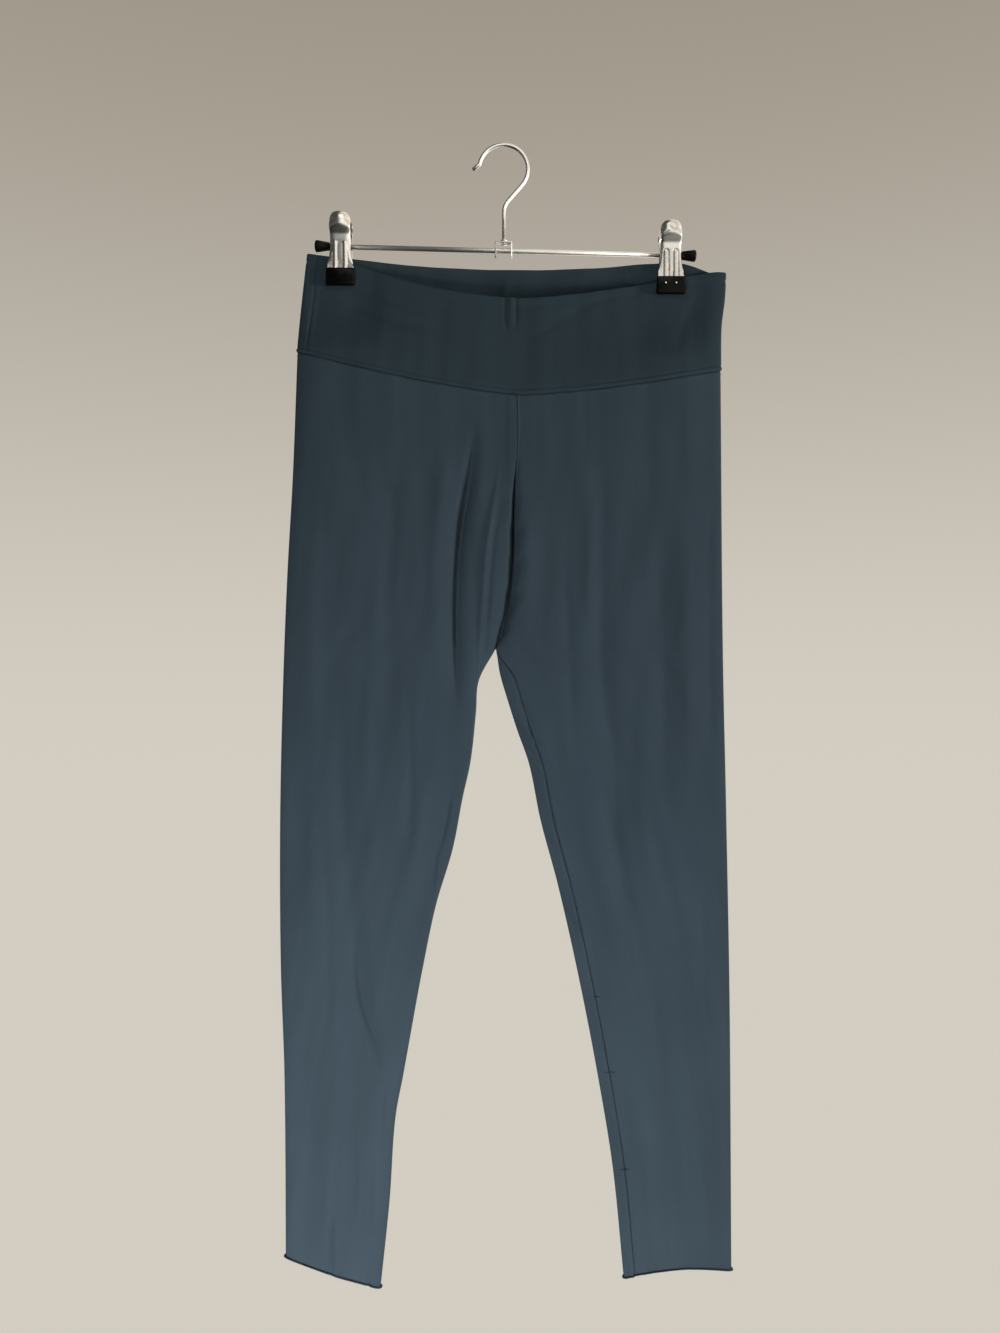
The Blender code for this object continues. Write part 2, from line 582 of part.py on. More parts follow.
def build_jaw(name, clip_x, facing, finish):
    """A rubber jaw with a pocket in its top for the plate's end."""
    near, far = sorted((facing * JAW_FACE, facing * (JAW_FACE + JAW_DEPTH)))
    half = JAW_WIDTH / 2
    jaw = box(name, (-half, near, JAW_BOTTOM), (half, far, JAW_TOP), parts, finish)
    rounding = jaw.modifiers.new("soft edges", "BEVEL")
    rounding.width = 1.1 * MM
    rounding.segments = 2
    plate = PLATE_ROWS[-1]
    room = PLATE / 2 + GAP
    near, far = sorted((facing * (plate.face - room), facing * (plate.face + room)))
    reach = plate.half_width + GAP
    low, high = (-reach, near, plate.z - GAP), (reach, far, JAW_TOP + 3)
    pocket = as_cutter(box(f"{name}_pocket", low, high, cutters))
    for piece in (jaw, pocket):
        piece.data.transform(clip_frame(clip_x))
    cut(jaw, pocket)


def build_spring(name, clip_x, finish):
    """A coil round the bar, its two ends standing up against the plates."""
    wire, coil_turns, per_turn = 0.95, 5, 12
    radius = BAR_DIAMETER / 2 + GAP + wire / 2
    length = 11.0
    curve = bpy.data.curves.new(name, "CURVE")
    curve.dimensions = "3D"
    curve.bevel_depth = wire / 2 * MM
    curve.bevel_resolution = 1
    curve.use_fill_caps = True
    lean, reach = 5.4, 10.5
    steps = coil_turns * per_turn
    route = [Vector((-length / 2, -lean, reach))]
    for k in range(steps + 1):
        angle = pi + 2 * pi * coil_turns * k / steps + pi * k / steps
        route.append(Vector((-length / 2 + length * k / steps, radius * cos(angle), -radius * sin(angle))))
    route.append(Vector((length / 2, lean, reach)))
    spline = curve.splines.new("POLY")
    spline.points.add(len(route) - 1)
    for point, at in zip(spline.points, route):
        sloped = Vector((at.x, at.y, at.z + BAR_SLOPE * at.x))
        point.co = (*(clip_frame(clip_x) @ (sloped * MM)), 1)
    made = bpy.data.objects.new(name, curve)
    parts.objects.link(made)
    curve.materials.append(finish)


def build_clips():
    steel = material("clip steel", COLOURS["chrome"], 0.18, 1.0)
    rubber = material("jaw rubber", COLOURS["black"], 0.35)
    for wearer_side, clip_x in CLIP_X.items():
        for face_name, facing in (("front", -1), ("back", 1)):
            build_plate(f"clip_{wearer_side}_{face_name}_plate", clip_x, facing, steel)
            build_jaw(f"clip_{wearer_side}_{face_name}_jaw", clip_x, facing, rubber)
        build_spring(f"clip_{wearer_side}_spring", clip_x, steel)


# --- build ----------------------------------------------------------------------------------------
for old in list(bpy.data.objects):
    bpy.data.objects.remove(old)

parts = bpy.data.collections.new("leggings_on_hanger")
cutters = bpy.data.collections.new("cutters")
for group in (parts, cutters):
    bpy.context.scene.collection.children.link(group)

build_legs()
build_band()
build_bar()
build_hook()
build_saddle()
build_clips()
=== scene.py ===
"""The looks of a pair of leggings hung by two spring clips from a wire hanger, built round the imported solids.

The file is laid out as an add-on and run as a script. Each operator makes one piece or a group of like
pieces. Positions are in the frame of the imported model: metres, +Z up, the front facing -Y, the origin under
the hook's top.
The tables of the cloth and clips are in millimetres, and MM turns them over where a mesh is made.
Right and left are the wearer's, so right is at -X.
"""

from collections import namedtuple
from math import cos, pi, radians, sin

import bmesh
import bpy
import numpy as np
from bpy.props import FloatProperty, FloatVectorProperty, PointerProperty
from mathutils import Matrix, Vector


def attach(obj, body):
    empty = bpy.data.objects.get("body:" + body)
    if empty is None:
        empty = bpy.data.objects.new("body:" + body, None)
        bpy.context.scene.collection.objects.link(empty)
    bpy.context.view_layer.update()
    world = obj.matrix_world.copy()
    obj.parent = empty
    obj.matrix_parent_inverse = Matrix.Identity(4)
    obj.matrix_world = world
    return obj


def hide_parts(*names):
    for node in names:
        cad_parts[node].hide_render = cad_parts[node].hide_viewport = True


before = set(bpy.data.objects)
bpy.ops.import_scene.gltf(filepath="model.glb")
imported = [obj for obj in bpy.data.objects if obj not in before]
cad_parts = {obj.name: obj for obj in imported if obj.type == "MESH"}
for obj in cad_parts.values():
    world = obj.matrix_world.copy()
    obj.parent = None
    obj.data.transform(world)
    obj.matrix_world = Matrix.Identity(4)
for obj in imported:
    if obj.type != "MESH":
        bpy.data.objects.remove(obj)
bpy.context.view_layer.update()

bl_info = {
    "name": "Leggings on a clip hanger",
    "version": (1, 0, 0),
    "blender": (4, 5, 0),
    "location": "View3D > Sidebar > Leggings",
    "description": "Cloth, seams, clips and studio for a pair of hung leggings",
    "category": "Object",
}

MM = 0.001
BODY = "root"

# --- the cloth's outline, in millimetres ------------------
SEAM_GAP = 0.15              # from a seam's line to the cloth on each side of it
WAIST_GAP = 0.25             # from the waist seam's line to the cloth above and below it
CROTCH = (-6.8, -452.0)      # x, z where the four leg seams meet
CENTRE_BACK_SHIFT = -10.0
WAIST_FRONT, WAIST_BACK = -226.8, -200.0

# Each edge is a line of (z, x).
CENTRE_FRONT = ((-224, 12.2), (-270, 12.6), (-306, 10), (-340, 9), (-381, 8), (-420, 3), (-452, -6.8))
RIGHT_SIDE = ((-186.6, -184.6), (-297, -188.8), (-390, -194), (-483, -197.6), (-606, -200.3),
              (-738, -199.7), (-827, -196.7), (-887, -195.8), (-999.5, -195.3))
RIGHT_INSIDE = ((-452, -7.5), (-480, -22.5), (-509, -25.2), (-554, -30.2), (-585, -37), (-633, -46.4),
                (-681, -60.8), (-738, -72.9), (-836, -90.8), (-872, -97.5), (-948, -103), (-1027, -111.2))
LEFT_SIDE = ((-203, 194.5), (-456, 196.7), (-597, 199.7), (-767, 202.8), (-1011.7, 204.4))
LEFT_INSIDE = ((-452, -6.1), (-475, -2.6), (-498, 4.1), (-525, 12.7), (-554, 23), (-606, 33.8),
               (-663, 49.1), (-749, 68.5), (-842, 86.4), (-917, 98.6), (-1018.4, 108.8))
FRONT_DEPTH = ((-186, 14), (-300, 14), (-452, 12), (-600, 10), (-740, 8.5), (-880, 7), (-1028, 6))
BACK_DEPTH = ((-186, 11), (-300, 11), (-452, 10), (-600, 8.5), (-740, 7.5), (-880, 6), (-1028, 5.5))

# The cleft between the legs at the centre front: its depth, and how far it reaches into each leg.
CLEFT_DEPTH = ((-224, 0), (-262, 0.2), (-285, 1.2), (-302, 3.5), (-330, 7.4), (-354, 9.6), (-408, 9.8),
               (-434, 7.5), (-452, 3))
CLEFT_REACH = ((-224, 1.4), (-285, 1.8), (-320, 2.8), (-354, 3.8), (-408, 4.0), (-438, 2.8), (-452, 2.2))
CLEFT_RIGHT_SHARE, CLEFT_LEFT_SHARE = 0.5, 1.2       # the cleft reaches further into the left leg
CENTRE_SEAM_OPENING = 0.65   # how far the centre seam's two edges draw apart below its top
SHIFT_RUN, SHIFT_LOSS = 0.05, 0.25    # shares of the leg: where an inseam's turn is full, what it loses lower
FOLD_POWER = 0.55            # how square the cloth's side folds are
HEM_ROLLED = 2.6             # length of cloth in the hem's curl
TACK_HEIGHTS = {"leg_right": (-772.0, -846.0, -930.0), "leg_left": (-762.8, -831.2, -920.3)}
TACK_PULL = 0.55             # how far a tack pulls the inseam in
BINDING_RELIEF, WELT_RELIEF = 0.34, 0.60    # height of the strip and the welt beside the centre front seam

# Relief beside a seam, as rows of (height, distance from the edge, reach).
SEAM_EDGE_RELIEF = ((-0.75, 0, 0.9),)
INSEAM_RELIEF = ((-0.75, 0, 0.9), (0.55, 2.3, 1.2), (-0.18, 4.6, 1.2))
LEG_TOP_RELIEF = ((-0.80, 0, 0.8), (0.20, 1.9, 0.9))
BAND_SEAM_RELIEF = ((-0.30, 4.0, 0.7), (-0.75, 0, 0.7))
BAND_END_RELIEF = ((-0.5, 0, 0.9), (0.25, 2.4, 1.2))
BAND_TOP_RELIEF = ((-0.50, 6.3, 0.8),)
BAND_RIDGE_CENTRE, BAND_RIDGE_SIDE = 0.40, 0.75      # height of the ridge above the waist seam

# The waistband's upper edges as lines of (x, z), and its sides as lines of (z, x).
BAND_TOP_FRONT = ((-176, -97.7), (-146, -102.5), (-132, -108), (-77, -126.4), (-36, -134.8), (15, -139.8),
                  (66, -135.4), (114, -127.6), (135, -123.6), (160, -118.5), (188.6, -115.2), (199.4, -114.7))
BAND_TOP_BACK = ((-176, -97.7), (-146, -100.5), (-135, -101.8), (-84, -107), (0, -110.5), (80, -109.4),
                 (135, -105.9), (160, -105.6), (188.6, -114.2), (199.4, -114.7))
BAND_RIGHT_EDGE = ((-97.7, -176), (-140, -180.5), (-186.6, -184.6))
BAND_LEFT_EDGE = ((-114.7, 199.4), (-135.5, 198.5), (-163.4, 195.2), (-203, 194.5))
RIGHT_FOLD, LEFT_FOLD = BAND_RIGHT_EDGE[0][1], BAND_LEFT_EDGE[0][1]
BAND_HEIGHT = 92.0
LAYER_SHARE, FOLD_STEPS, FOLD_FULLNESS = 0.6, 8, 1.15    # of the band's two layers and the fold between them
BAND_BULGE_FRONT, BAND_BULGE_BACK, BAND_SIDE_BULGE = 7.5, 3.0, 3.2
BAND_SEAM_SHARE = 0.024      # share of the band's width from a side fold to its side seam
PINCHED = 1.25               # from the hanger's plane to the middle of each band inside a clip
PINCH_HALF, PINCH_FADE, PINCH_DROP = 17.0, 32.0, 58.0

# --- the hanger and clips, in millimetres -----------------
BAR_Z, BAR_SLOPE = -94.0, -0.026
CLIP_X = {"right": -146.3, "left": 149.9}
JAW_WIDTH, JAW_TOP, JAW_BOTTOM, JAW_DEPTH, JAW_FACE = 26.5, -20.6, -36.5, 5.0, 2.65
JAW_TAPER = 0.06             # share of the jaw's width lost at its top
JAW_ROUND = 1.8
JAW_SHADOW = 3.0             # from a jaw's lower edge to where the cloth starts to open
PLATE_WALL = 0.9
# A clip's plate against the height over the bar: half its width, how far its face stands out, how far its
# sides turn back.
PLATE_HALF = ((28, 1.2), (27.3, 4.5), (25.8, 6.9), (23.4, 8.4), (20, 9), (15.7, 9), (12.3, 8.8), (6, 8.7),
              (0, 9), (-6, 9.2), (-12, 9.8), (-17.5, 11.2), (-30, 11.2))
PLATE_FACE = ((28, 9.8), (27.3, 11.3), (25.8, 12.8), (23.4, 13.8), (20, 13.9), (15.7, 12.9), (12.3, 10.2),
              (10.6, 8.4), (6, 6.8), (0, 6.2), (-6, 5.9), (-12, 5.6), (-17.5, 5.3), (-30, 5.3))
PLATE_FLANGE = ((28, 0), (25.8, 1), (23.4, 1.6), (20, 2), (12.3, 1.6), (6, 2.6), (0, 3.4), (-6, 2.2),
                (-12, 1), (-17.5, 0), (-30, 0))
PLATE_TOP, PLATE_END = 28.0, -30.0
RIB_X, RIB_HALF, RIB_TOP, RIB_HEIGHT, FLAT_RIB_HEIGHT, GROOVE_DEPTH = 4.4, 2.1, 1.2, 1.7, 0.4, 0.75
STEP_Z, STEP_DEPTH, DOME_ROUND = 12.2, 0.35, 5.0
DIMPLE_X, DIMPLE_Z, DIMPLE_DEPTH = 0.6, 21.7, 1.5
WINDOW_X, WINDOW_Z, WINDOW_RADIUS = (-4.9, 4.4), -27.0, 1.75
WINDOW_RINGS = ((0.97, 0.5), (0.80, 0.0), (0.74, -0.42))     # each ring's size and its step outwards
RIVET_RADIUS, RIVET_DEPTH = 1.0, 0.5

# --- creases ----------------------------------------------
# depth is positive for a trough and negative for a ridge, and a line is made of (x, z) points.
Crease = namedtuple("Crease", "depth half_width line")

RIGHT_FRONT_CREASES = (
    Crease(7.4, 4.6, ((-24.5, -240), (-27.6, -283), (-36.5, -339), (-41, -385), (-42, -458), (-43, -515))),
    Crease(2.8, 1.9, ((-25.6, -255), (-27.6, -283), (-36.5, -339), (-41, -385), (-42, -458), (-43, -505))),
    Crease(2.4, 12.0, ((-28, -250), (-38, -339), (-44, -400), (-45, -470), (-46, -530))),
    Crease(-2.2, 1.5, ((-2, -282), (-8.5, -322), (-15, -362), (-20, -431), (-24, -492))),
    Crease(1.2, 2.4, ((1.5, -300), (-9.5, -362), (-15, -431), (-19, -480))),
    Crease(-2.6, 9.0, ((-45, -250), (-56, -330), (-60, -420), (-60, -500))),
    Crease(2.6, 9.0, ((-141, -452), (-144, -597), (-130, -722), (-126, -773), (-115, -806), (-99, -884))),
    Crease(1.9, 3.0, ((-134, -694), (-127, -768), (-115, -806), (-108, -846))),
    Crease(-1.5, 6.0, ((-120, -690), (-114, -760), (-100, -812), (-96, -850))),
    Crease(1.5, 2.6, ((-104, -826), (-108, -862), (-110, -900))),
    Crease(1.9, 1.9, ((-46.5, -578), (-50.5, -604), (-57.5, -634))),
    Crease(1.4, 1.8, ((-57.6, -618), (-60.5, -640), (-64.8, -684))),
    Crease(1.1, 2.2, ((-153, -952), (-153.6, -985), (-153.4, -1020))),
    Crease(-0.7, 2.4, ((-149, -955), (-149.4, -985), (-149, -1018))),
    Crease(1.0, 2.6, ((-133, -878), (-132.6, -930), (-134, -982))),
    Crease(1.1, 2.2, ((-117.6, -895), (-118.4, -945), (-118, -998))),
    Crease(0.8, 2.0, ((-121, -1000), (-120.4, -1014), (-121, -1034))),
    Crease(1.8, 9.0, ((-96, -262), (-101, -340), (-104, -430), (-101, -560))),
    Crease(-1.6, 9.0, ((-168, -300), (-170, -450), (-171, -620), (-168, -760))),
    Crease(-1.5, 8.0, ((-124, -480), (-121, -580), (-112, -690))),
    Crease(1.1, 4.0, ((-84, -470), (-83, -560), (-86, -660))),
    Crease(1.2, 5.0, ((-160, -620), (-157, -720), (-158, -820))),
)
LEFT_FRONT_CREASES = (
    Crease(-2.0, 8.0, ((18, -312), (20, -350), (21, -400), (15, -462))),
    Crease(-2.0, 7.0, ((76, -285), (77.5, -370), (77, -455))),
    Crease(3.0, 7.5, ((87, -276), (85, -380), (88, -450), (94, -520), (103, -624), (109, -736))),
    Crease(2.2, 8.0, ((141, -340), (142, -480), (141, -615))),
    Crease(-2.8, 9.0, ((163, -285), (164, -450), (165, -620))),
    Crease(2.0, 5.5, ((183, -290), (184, -430), (185, -590))),
    Crease(1.3, 1.8, ((20, -526), (29, -531), (38, -540))),
    Crease(1.1, 1.6, ((23, -538), (30, -543), (38, -545))),
    Crease(-0.9, 1.8, ((20, -534), (29, -537), (38, -542))),
    Crease(0.9, 1.8, ((14, -486), (18, -500), (27, -520))),
    Crease(1.6, 6.0, ((54, -300), (56, -400), (62, -520), (70, -610))),
    Crease(-1.4, 8.0, ((122, -470), (124, -580), (130, -690))),
    Crease(1.3, 5.0, ((176, -640), (178, -720), (180, -820))),
    Crease(1.8, 8.0, ((133, -700), (137, -800), (143, -900))),
    Crease(-0.9, 9.0, ((168, -680), (170, -800), (172, -930))),
    Crease(0.9, 3.0, ((121, -950), (122, -985), (121, -1024))),
)
RIGHT_BACK_CREASES = (
    Crease(2.6, 11.0, ((-40, -300), (-47, -380), (-52, -460), (-50, -540))),
    Crease(1.6, 12.0, ((-122, -380), (-130, -520), (-140, -680), (-136, -800))),
    Crease(-1.2, 10.0, ((-88, -330), (-94, -450), (-98, -600))),
    Crease(1.0, 6.0, ((-80, -610), (-98, -700), (-112, -780))),
    Crease(0.8, 5.0, ((-150, -850), (-146, -930), (-148, -1000))),
)
LEFT_BACK_CREASES = (
    Crease(2.2, 10.0, ((30, -310), (40, -400), (44, -480), (52, -560))),
    Crease(1.4, 12.0, ((120, -330), (128, -480), (134, -620), (150, -760))),
    Crease(-1.1, 11.0, ((80, -350), (86, -470), (96, -610))),
    Crease(1.0, 7.0, ((90, -640), (110, -740), (120, -830))),
    Crease(0.7, 5.0, ((150, -880), (154, -950), (150, -1010))),
)
BAND_FRONT_CREASES = (
    Crease(1.6, 3.0, ((-158, -133), (-120, -150), (-66, -175))),
    Crease(1.2, 2.4, ((-142, -131), (-108, -149), (-40, -178))),
    Crease(-0.9, 3.5, ((-150, -128), (-112, -143), (-52, -168))),
    Crease(1.1, 2.6, ((-116, -122), (-84, -138), (-40, -158))),
    Crease(-0.6, 2.6, ((-110, -126), (-70, -146), (-24, -166))),
    Crease(0.9, 2.8, ((98, -136), (66, -151), (30, -166))),
    Crease(0.8, 2.6, ((88, -146), (56, -160), (16, -178))),
    Crease(-0.6, 3.0, ((94, -140), (60, -156), (22, -172))),
    Crease(0.7, 5.0, ((168, -138), (162, -160), (152, -192))),
    Crease(1.5, 1.5, ((2.1, -130), (2.0, -150), (2.6, -172))),
    Crease(1.4, 1.4, ((11.3, -131), (11.6, -150), (11.0, -171))),
    Crease(-0.8, 1.8, ((6.8, -132), (6.9, -150), (6.6, -166))),
)
BAND_BACK_CREASES = (
    Crease(1.3, 5.0, ((-140, -132), (-100, -146), (-50, -160))),
    Crease(1.0, 5.0, ((140, -134), (104, -148), (58, -162))),
    Crease(0.8, 4.0, ((-112, -118), (-80, -128), (-40, -140))),
    Crease(0.6, 3.0, ((2, -114), (1, -135), (3, -160))),
)

Leg = namedtuple("Leg", "name side inside outer_hem inner_hem hem_bow waist_side waist_bow seam_shift"
                        " front_creases back_creases flat area")
LEGS = (
    Leg("leg_right", RIGHT_SIDE, RIGHT_INSIDE, -999.5, -1027.4, 0.0, -186.6, -4.3, -9.0,
        RIGHT_FRONT_CREASES, RIGHT_BACK_CREASES, (0.39, 0.84), 0.245),
    Leg("leg_left", LEFT_SIDE, LEFT_INSIDE, -1011.7, -1018.4, 6.5, -203.0, -3.8, 13.0,
        LEFT_FRONT_CREASES, LEFT_BACK_CREASES, (0.39, 0.83), 0.245),
)

# --- the stage, in metres ---------------------------------
Light = namedtuple("Light", "name place target size power colour in_metal spread")
WARM, REAR_WARM = (1.0, 0.98, 0.95), (1.0, 0.98, 0.96)
LIGHTS = (
    Light("left light", (-0.3, -0.8, -1.25), (-0.05, 0.0, -0.92), (0.6, 0.6), "left_power", WARM, False, 120),
    Light("right light", (3.5, -1.0, -0.5), (0.0, 0.0, -0.6), (0.7, 0.7), "right_power", WARM, True, 180),
    Light("front light", (0.0, -1.5, -0.3), (0.0, 0.0, -0.3), (0.7, 0.7), "front_power", WARM, True, 180),
    Light("top light", (0.0, -0.5, 0.25), (0.0, 0.0, -0.12), (0.5, 0.3), "top_power", WARM, True, 180),
    Light("rear light", (1.5, 1.3, -0.3), (0.0, 0.0, -0.65), (1.0, 1.0), "rear_power", REAR_WARM, False, 180),
)
CAMERA_LENS, CAMERA_SENSOR = 30.0, 36.0      # millimetres
CAMERA_X, CAMERA_Z = -0.00315, -0.468
FLOOR_RADIUS, FLOOR_FADE = 0.95, (0.35, 0.9)

# --- mesh density -----------------------------------------
LEG_FRONT_COLUMNS, LEG_BACK_COLUMNS = 150, 46
LEG_ROW_STEP = 4.0
BAND_COLUMN_STEP, BAND_ROW_STEP = 1.35, 3.4
FINE_START = (0.0, 0.35, 0.8, 1.35, 2.0, 2.8, 3.8, 5.0, 6.6)     # rows next to a seam, hem or fold


# --- settings that a user would change --------------------
def colour_property(name, description, default):
    return FloatVectorProperty(name=name, description=description, subtype="COLOR", size=3, min=0.0, max=1.0,
                               default=default)


def length_property(name, description, default):
    return FloatProperty(name=name, description=description, subtype="DISTANCE", unit="LENGTH", min=0.0,
                         default=default)


def power_property(name, description, default):
    return FloatProperty(name=name, description=description, subtype="POWER", unit="POWER", min=0.0,
                         default=default)


def share_property(name, description, default, highest=1.0):
    return FloatProperty(name=name, description=description, subtype="FACTOR", min=0.0, max=highest,
                         default=default)


class ClothSettings(bpy.types.PropertyGroup):
    leg_colour: colour_property("Leg colour", "Colour of the single jersey", (0.052, 0.079, 0.105))
    # The band's colour is set darker than the legs' jersey: that darkness is painted shade for the dimmer light
    # on the waistband.
    band_shaded_colour: colour_property("Band colour, shaded", "Colour of the waistband's jersey", (0.040, 0.065, 0.083))
    thread_colour: colour_property("Thread colour", "Colour of the sewing thread", (0.030, 0.047, 0.060))
    jersey_wall: length_property("Jersey thickness", "Thickness of one layer of jersey", 0.0010)
    ripple: length_property("Ripple height", "Height of the cloth's slight unevenness", 0.0010)
    hem_roll: length_property("Hem roll", "Radius of the raw hem's outward curl", 0.0010)
    crease_strength: share_property("Crease strength", "Scales every crease's depth", 1.0, 2.0)


class HangerSettings(bpy.types.PropertyGroup):
    chrome_colour: colour_property("Chrome", "Colour of the hook and bar", (0.88, 0.88, 0.86))
    steel_colour: colour_property("Clip steel", "Colour of the clips' plates", (0.78, 0.78, 0.77))
    cap_colour: colour_property("Caps", "Colour of the bar's end caps", (0.005, 0.0045, 0.0045))
    jaw_colour: colour_property("Jaws", "Colour of the rubber jaws", (0.002, 0.0025, 0.0022))


class StageSettings(bpy.types.PropertyGroup):
    top_colour: colour_property("Backdrop top", "Colour of the studio above the hanger", (0.33, 0.29, 0.235))
    low_colour: colour_property("Backdrop bottom", "Colour of the studio at the hems", (0.65, 0.61, 0.54))
    floor_colour: colour_property("Floor", "Colour of the floor", (0.02, 0.02, 0.02))
    floor_height: FloatProperty(name="Floor height", description="Height of the floor under the hook",
                                subtype="DISTANCE", unit="LENGTH", default=-1.6)
    camera_distance: length_property("Camera distance", "From the hanger's plane to the camera", 1.0)
    left_power: power_property("Left light", "Power of the low light at the left", 4.6)
    right_power: power_property("Right light", "Power of the raking light at the right", 57.0)
    front_power: power_property("Front light", "Power of the soft light in front", 0.6)
    top_power: power_property("Top light", "Power of the soft light over the waistband", 0.5)
    rear_power: power_property("Rear light", "Power of the light behind the cloth", 30.0)
    room_light: share_property("Room", "Brightness of the room that the metal reflects in front", 0.60)
    ambient: share_property("Ambient", "Share of the backdrop's light that reaches the cloth", 0.10)


# --- shader maths -----------------------------------------
def maths(operation, swapped=False):
    """A Python operator that adds a Math node."""

    def apply(self, other=0.0):
        sockets = {0: other, 1: self} if swapped else {0: self, 1: other}
        return self.nodes.number("ShaderNodeMath", {"operation": operation}, sockets)

    return apply


class Number:
    """A number's socket, on which Python's operators add Math nodes."""

    def __init__(self, nodes, socket):
        self.nodes = nodes
        self.socket = socket

    __add__ = __radd__ = maths("ADD")
    __mul__ = __rmul__ = maths("MULTIPLY")
    __sub__ = maths("SUBTRACT")
    __rsub__ = maths("SUBTRACT", swapped=True)
    __pow__ = maths("POWER")
    sine = maths("SINE")


class Nodes:
    """A node tree whose nodes are added from Python."""

    def __init__(self, tree):
        self.tree = tree

    def node(self, kind, settings, sockets):
        """Adds a node, sets its settings, then sets or links its input sockets."""
        made = self.tree.nodes.new(kind)
        for key, value in settings.items():
            setattr(made, key, value)
        self.feed(made, sockets)
        return made

    def feed(self, node, sockets):
        for key, value in sockets.items():
            if isinstance(value, Number):
                value = value.socket
            if isinstance(value, bpy.types.NodeSocket):
                self.tree.links.new(value, node.inputs[key])
            else:
                node.inputs[key].default_value = value

    def number(self, kind, settings, sockets, output=0):
        return Number(self, self.node(kind, settings, sockets).outputs[output])

    def split(self, vector):
        made = self.node("ShaderNodeSeparateXYZ", {}, {0: vector})
        return [Number(self, output) for output in made.outputs]

    def blend(self, factor, dark, light):
        sockets = {"Factor": factor, 6: dark, 7: light}
        return self.node("ShaderNodeMix", {"data_type": "RGBA"}, sockets).outputs[2]

    def span(self, value, start, end, low, high):
        """The value taken smoothly from low at start to high at end."""
        sockets = {"Value": value, "From Min": start, "From Max": end, "To Min": low, "To Max": high}
        return self.number("ShaderNodeMapRange", {"interpolation_type": "SMOOTHSTEP"}, sockets)


class Finish(Nodes):
    """A material, with its Principled shader."""

    def __init__(self, name):
        self.material = bpy.data.materials.new(name)
        self.material.use_nodes = True
        super().__init__(self.material.node_tree)
        self.shader = self.tree.nodes["Principled BSDF"]

    def noise(self, vector, scale, detail=3.0, roughness=0.5):
        return self.number("ShaderNodeTexNoise", {}, {"Vector": vector, "Scale": scale, "Detail": detail,
                                                      "Roughness": roughness})

    def place(self):
        return self.node("ShaderNodeTexCoord", {}, {}).outputs["Object"]

    def stretched(self, vector, scale):
        return self.node("ShaderNodeMapping", {}, {"Vector": vector, "Scale": scale}).outputs[0]

    def bump(self, height, strength, distance):
        made = self.node("ShaderNodeBump", {}, {"Height": height, "Strength": strength, "Distance": distance})
        self.feed(self.shader, {"Normal": made.outputs[0]})


WALE_PITCH, COURSE_PITCH = 0.00058, 0.00047     # metres between the jersey's columns and rows of stitches


def scaled(colour, factor):
    return (*[min(1.0, channel * factor) for channel in colour], 1.0)


def jersey(name, colour):
    """Fine matte jersey: wales and courses in the bump, a slightly uneven dye and a soft sheen."""
    finish = Finish(name)
    uv = finish.node("ShaderNodeUVMap", {"uv_map": "cloth"}, {}).outputs[0]
    across, along, _ = finish.split(uv)
    wales = (across * (2 * pi / WALE_PITCH)).sine()
    courses = (along * (2 * pi / COURSE_PITCH) + wales * 1.4).sine()
    place = finish.place()
    dye = finish.noise(place, 9.0, 4.0, 0.55)
    heather = finish.noise(place, 620.0, 2.0, 0.6)
    streak = finish.noise(finish.stretched(uv, (52.0, 3.5, 1.0)), 1.0, 4.0, 0.55)
    tone = (dye - 0.5) * 0.7 + (heather - 0.5) * 0.5 + (streak - 0.5) * 1.1 + 0.5
    finish.feed(finish.shader, {
        "Base Color": finish.blend(tone, scaled(colour, 0.80), scaled(colour, 1.20)),
        "Roughness": 0.86 + (heather - 0.5) * 0.12,
        "Specular IOR Level": 0.15,
        "Sheen Weight": 0.05,
        "Sheen Roughness": 0.45,
        "Sheen Tint": (0.55, 0.68, 0.78, 1.0),
    })
    finish.bump(wales * 0.22 + courses * 0.14 + heather * 0.9 + streak * 3.0, 0.25, 0.00035)
    return finish.material


def thread(name, colour):
    """Twisted sewing thread."""
    finish = Finish(name)
    place = finish.place()
    twist = finish.noise(place, 1500.0, 2.0)
    finish.feed(finish.shader, {
        "Base Color": finish.blend(twist, scaled(colour, 0.75), scaled(colour, 1.3)),
        "Roughness": 0.6 + twist * 0.25,
        "Specular IOR Level": 0.3,
    })
    finish.bump(twist, 0.4, 0.0002)
    return finish.material


def polished_metal(name, colour, gloss):
    """Plated or polished steel with fine marks and a little wear."""
    finish = Finish(name)
    place = finish.place()
    marks = finish.noise(place, 900.0, 3.0, 0.6)
    wear = finish.noise(place, 60.0, 4.0, 0.6)
    finish.feed(finish.shader, {
        "Base Color": finish.blend(wear, scaled(colour, 0.88), scaled(colour, 1.08)),
        "Metallic": 1.0,
        "Roughness": gloss + (wear - 0.5) * 0.10 + (marks - 0.5) * 0.02,
    })
    finish.bump(marks, 0.01, 0.00001)
    return finish.material


def moulded(name, colour, gloss, grain):
    """Black moulded plastic or rubber with a faint grain and rubbed patches."""
    finish = Finish(name)
    place = finish.place()
    pores = finish.noise(place, grain, 3.0, 0.6)
    rubbed = finish.noise(place, 130.0, 3.0, 0.5)
    finish.feed(finish.shader, {
        "Base Color": finish.blend(rubbed, scaled(colour, 0.7), scaled(colour, 1.7)),
        "Roughness": gloss + (rubbed - 0.5) * 0.2,
        "Specular IOR Level": 0.12,
    })
    finish.bump(pores, 0.10, 0.00008)
    return finish.material


# --- lines and surfaces -----------------------------------
def smoothstep(value):
    value = np.clip(value, 0.0, 1.0)
    return value * value * (3 - 2 * value)


def bell(offset, reach):
    return np.exp(-((offset / reach) ** 2))


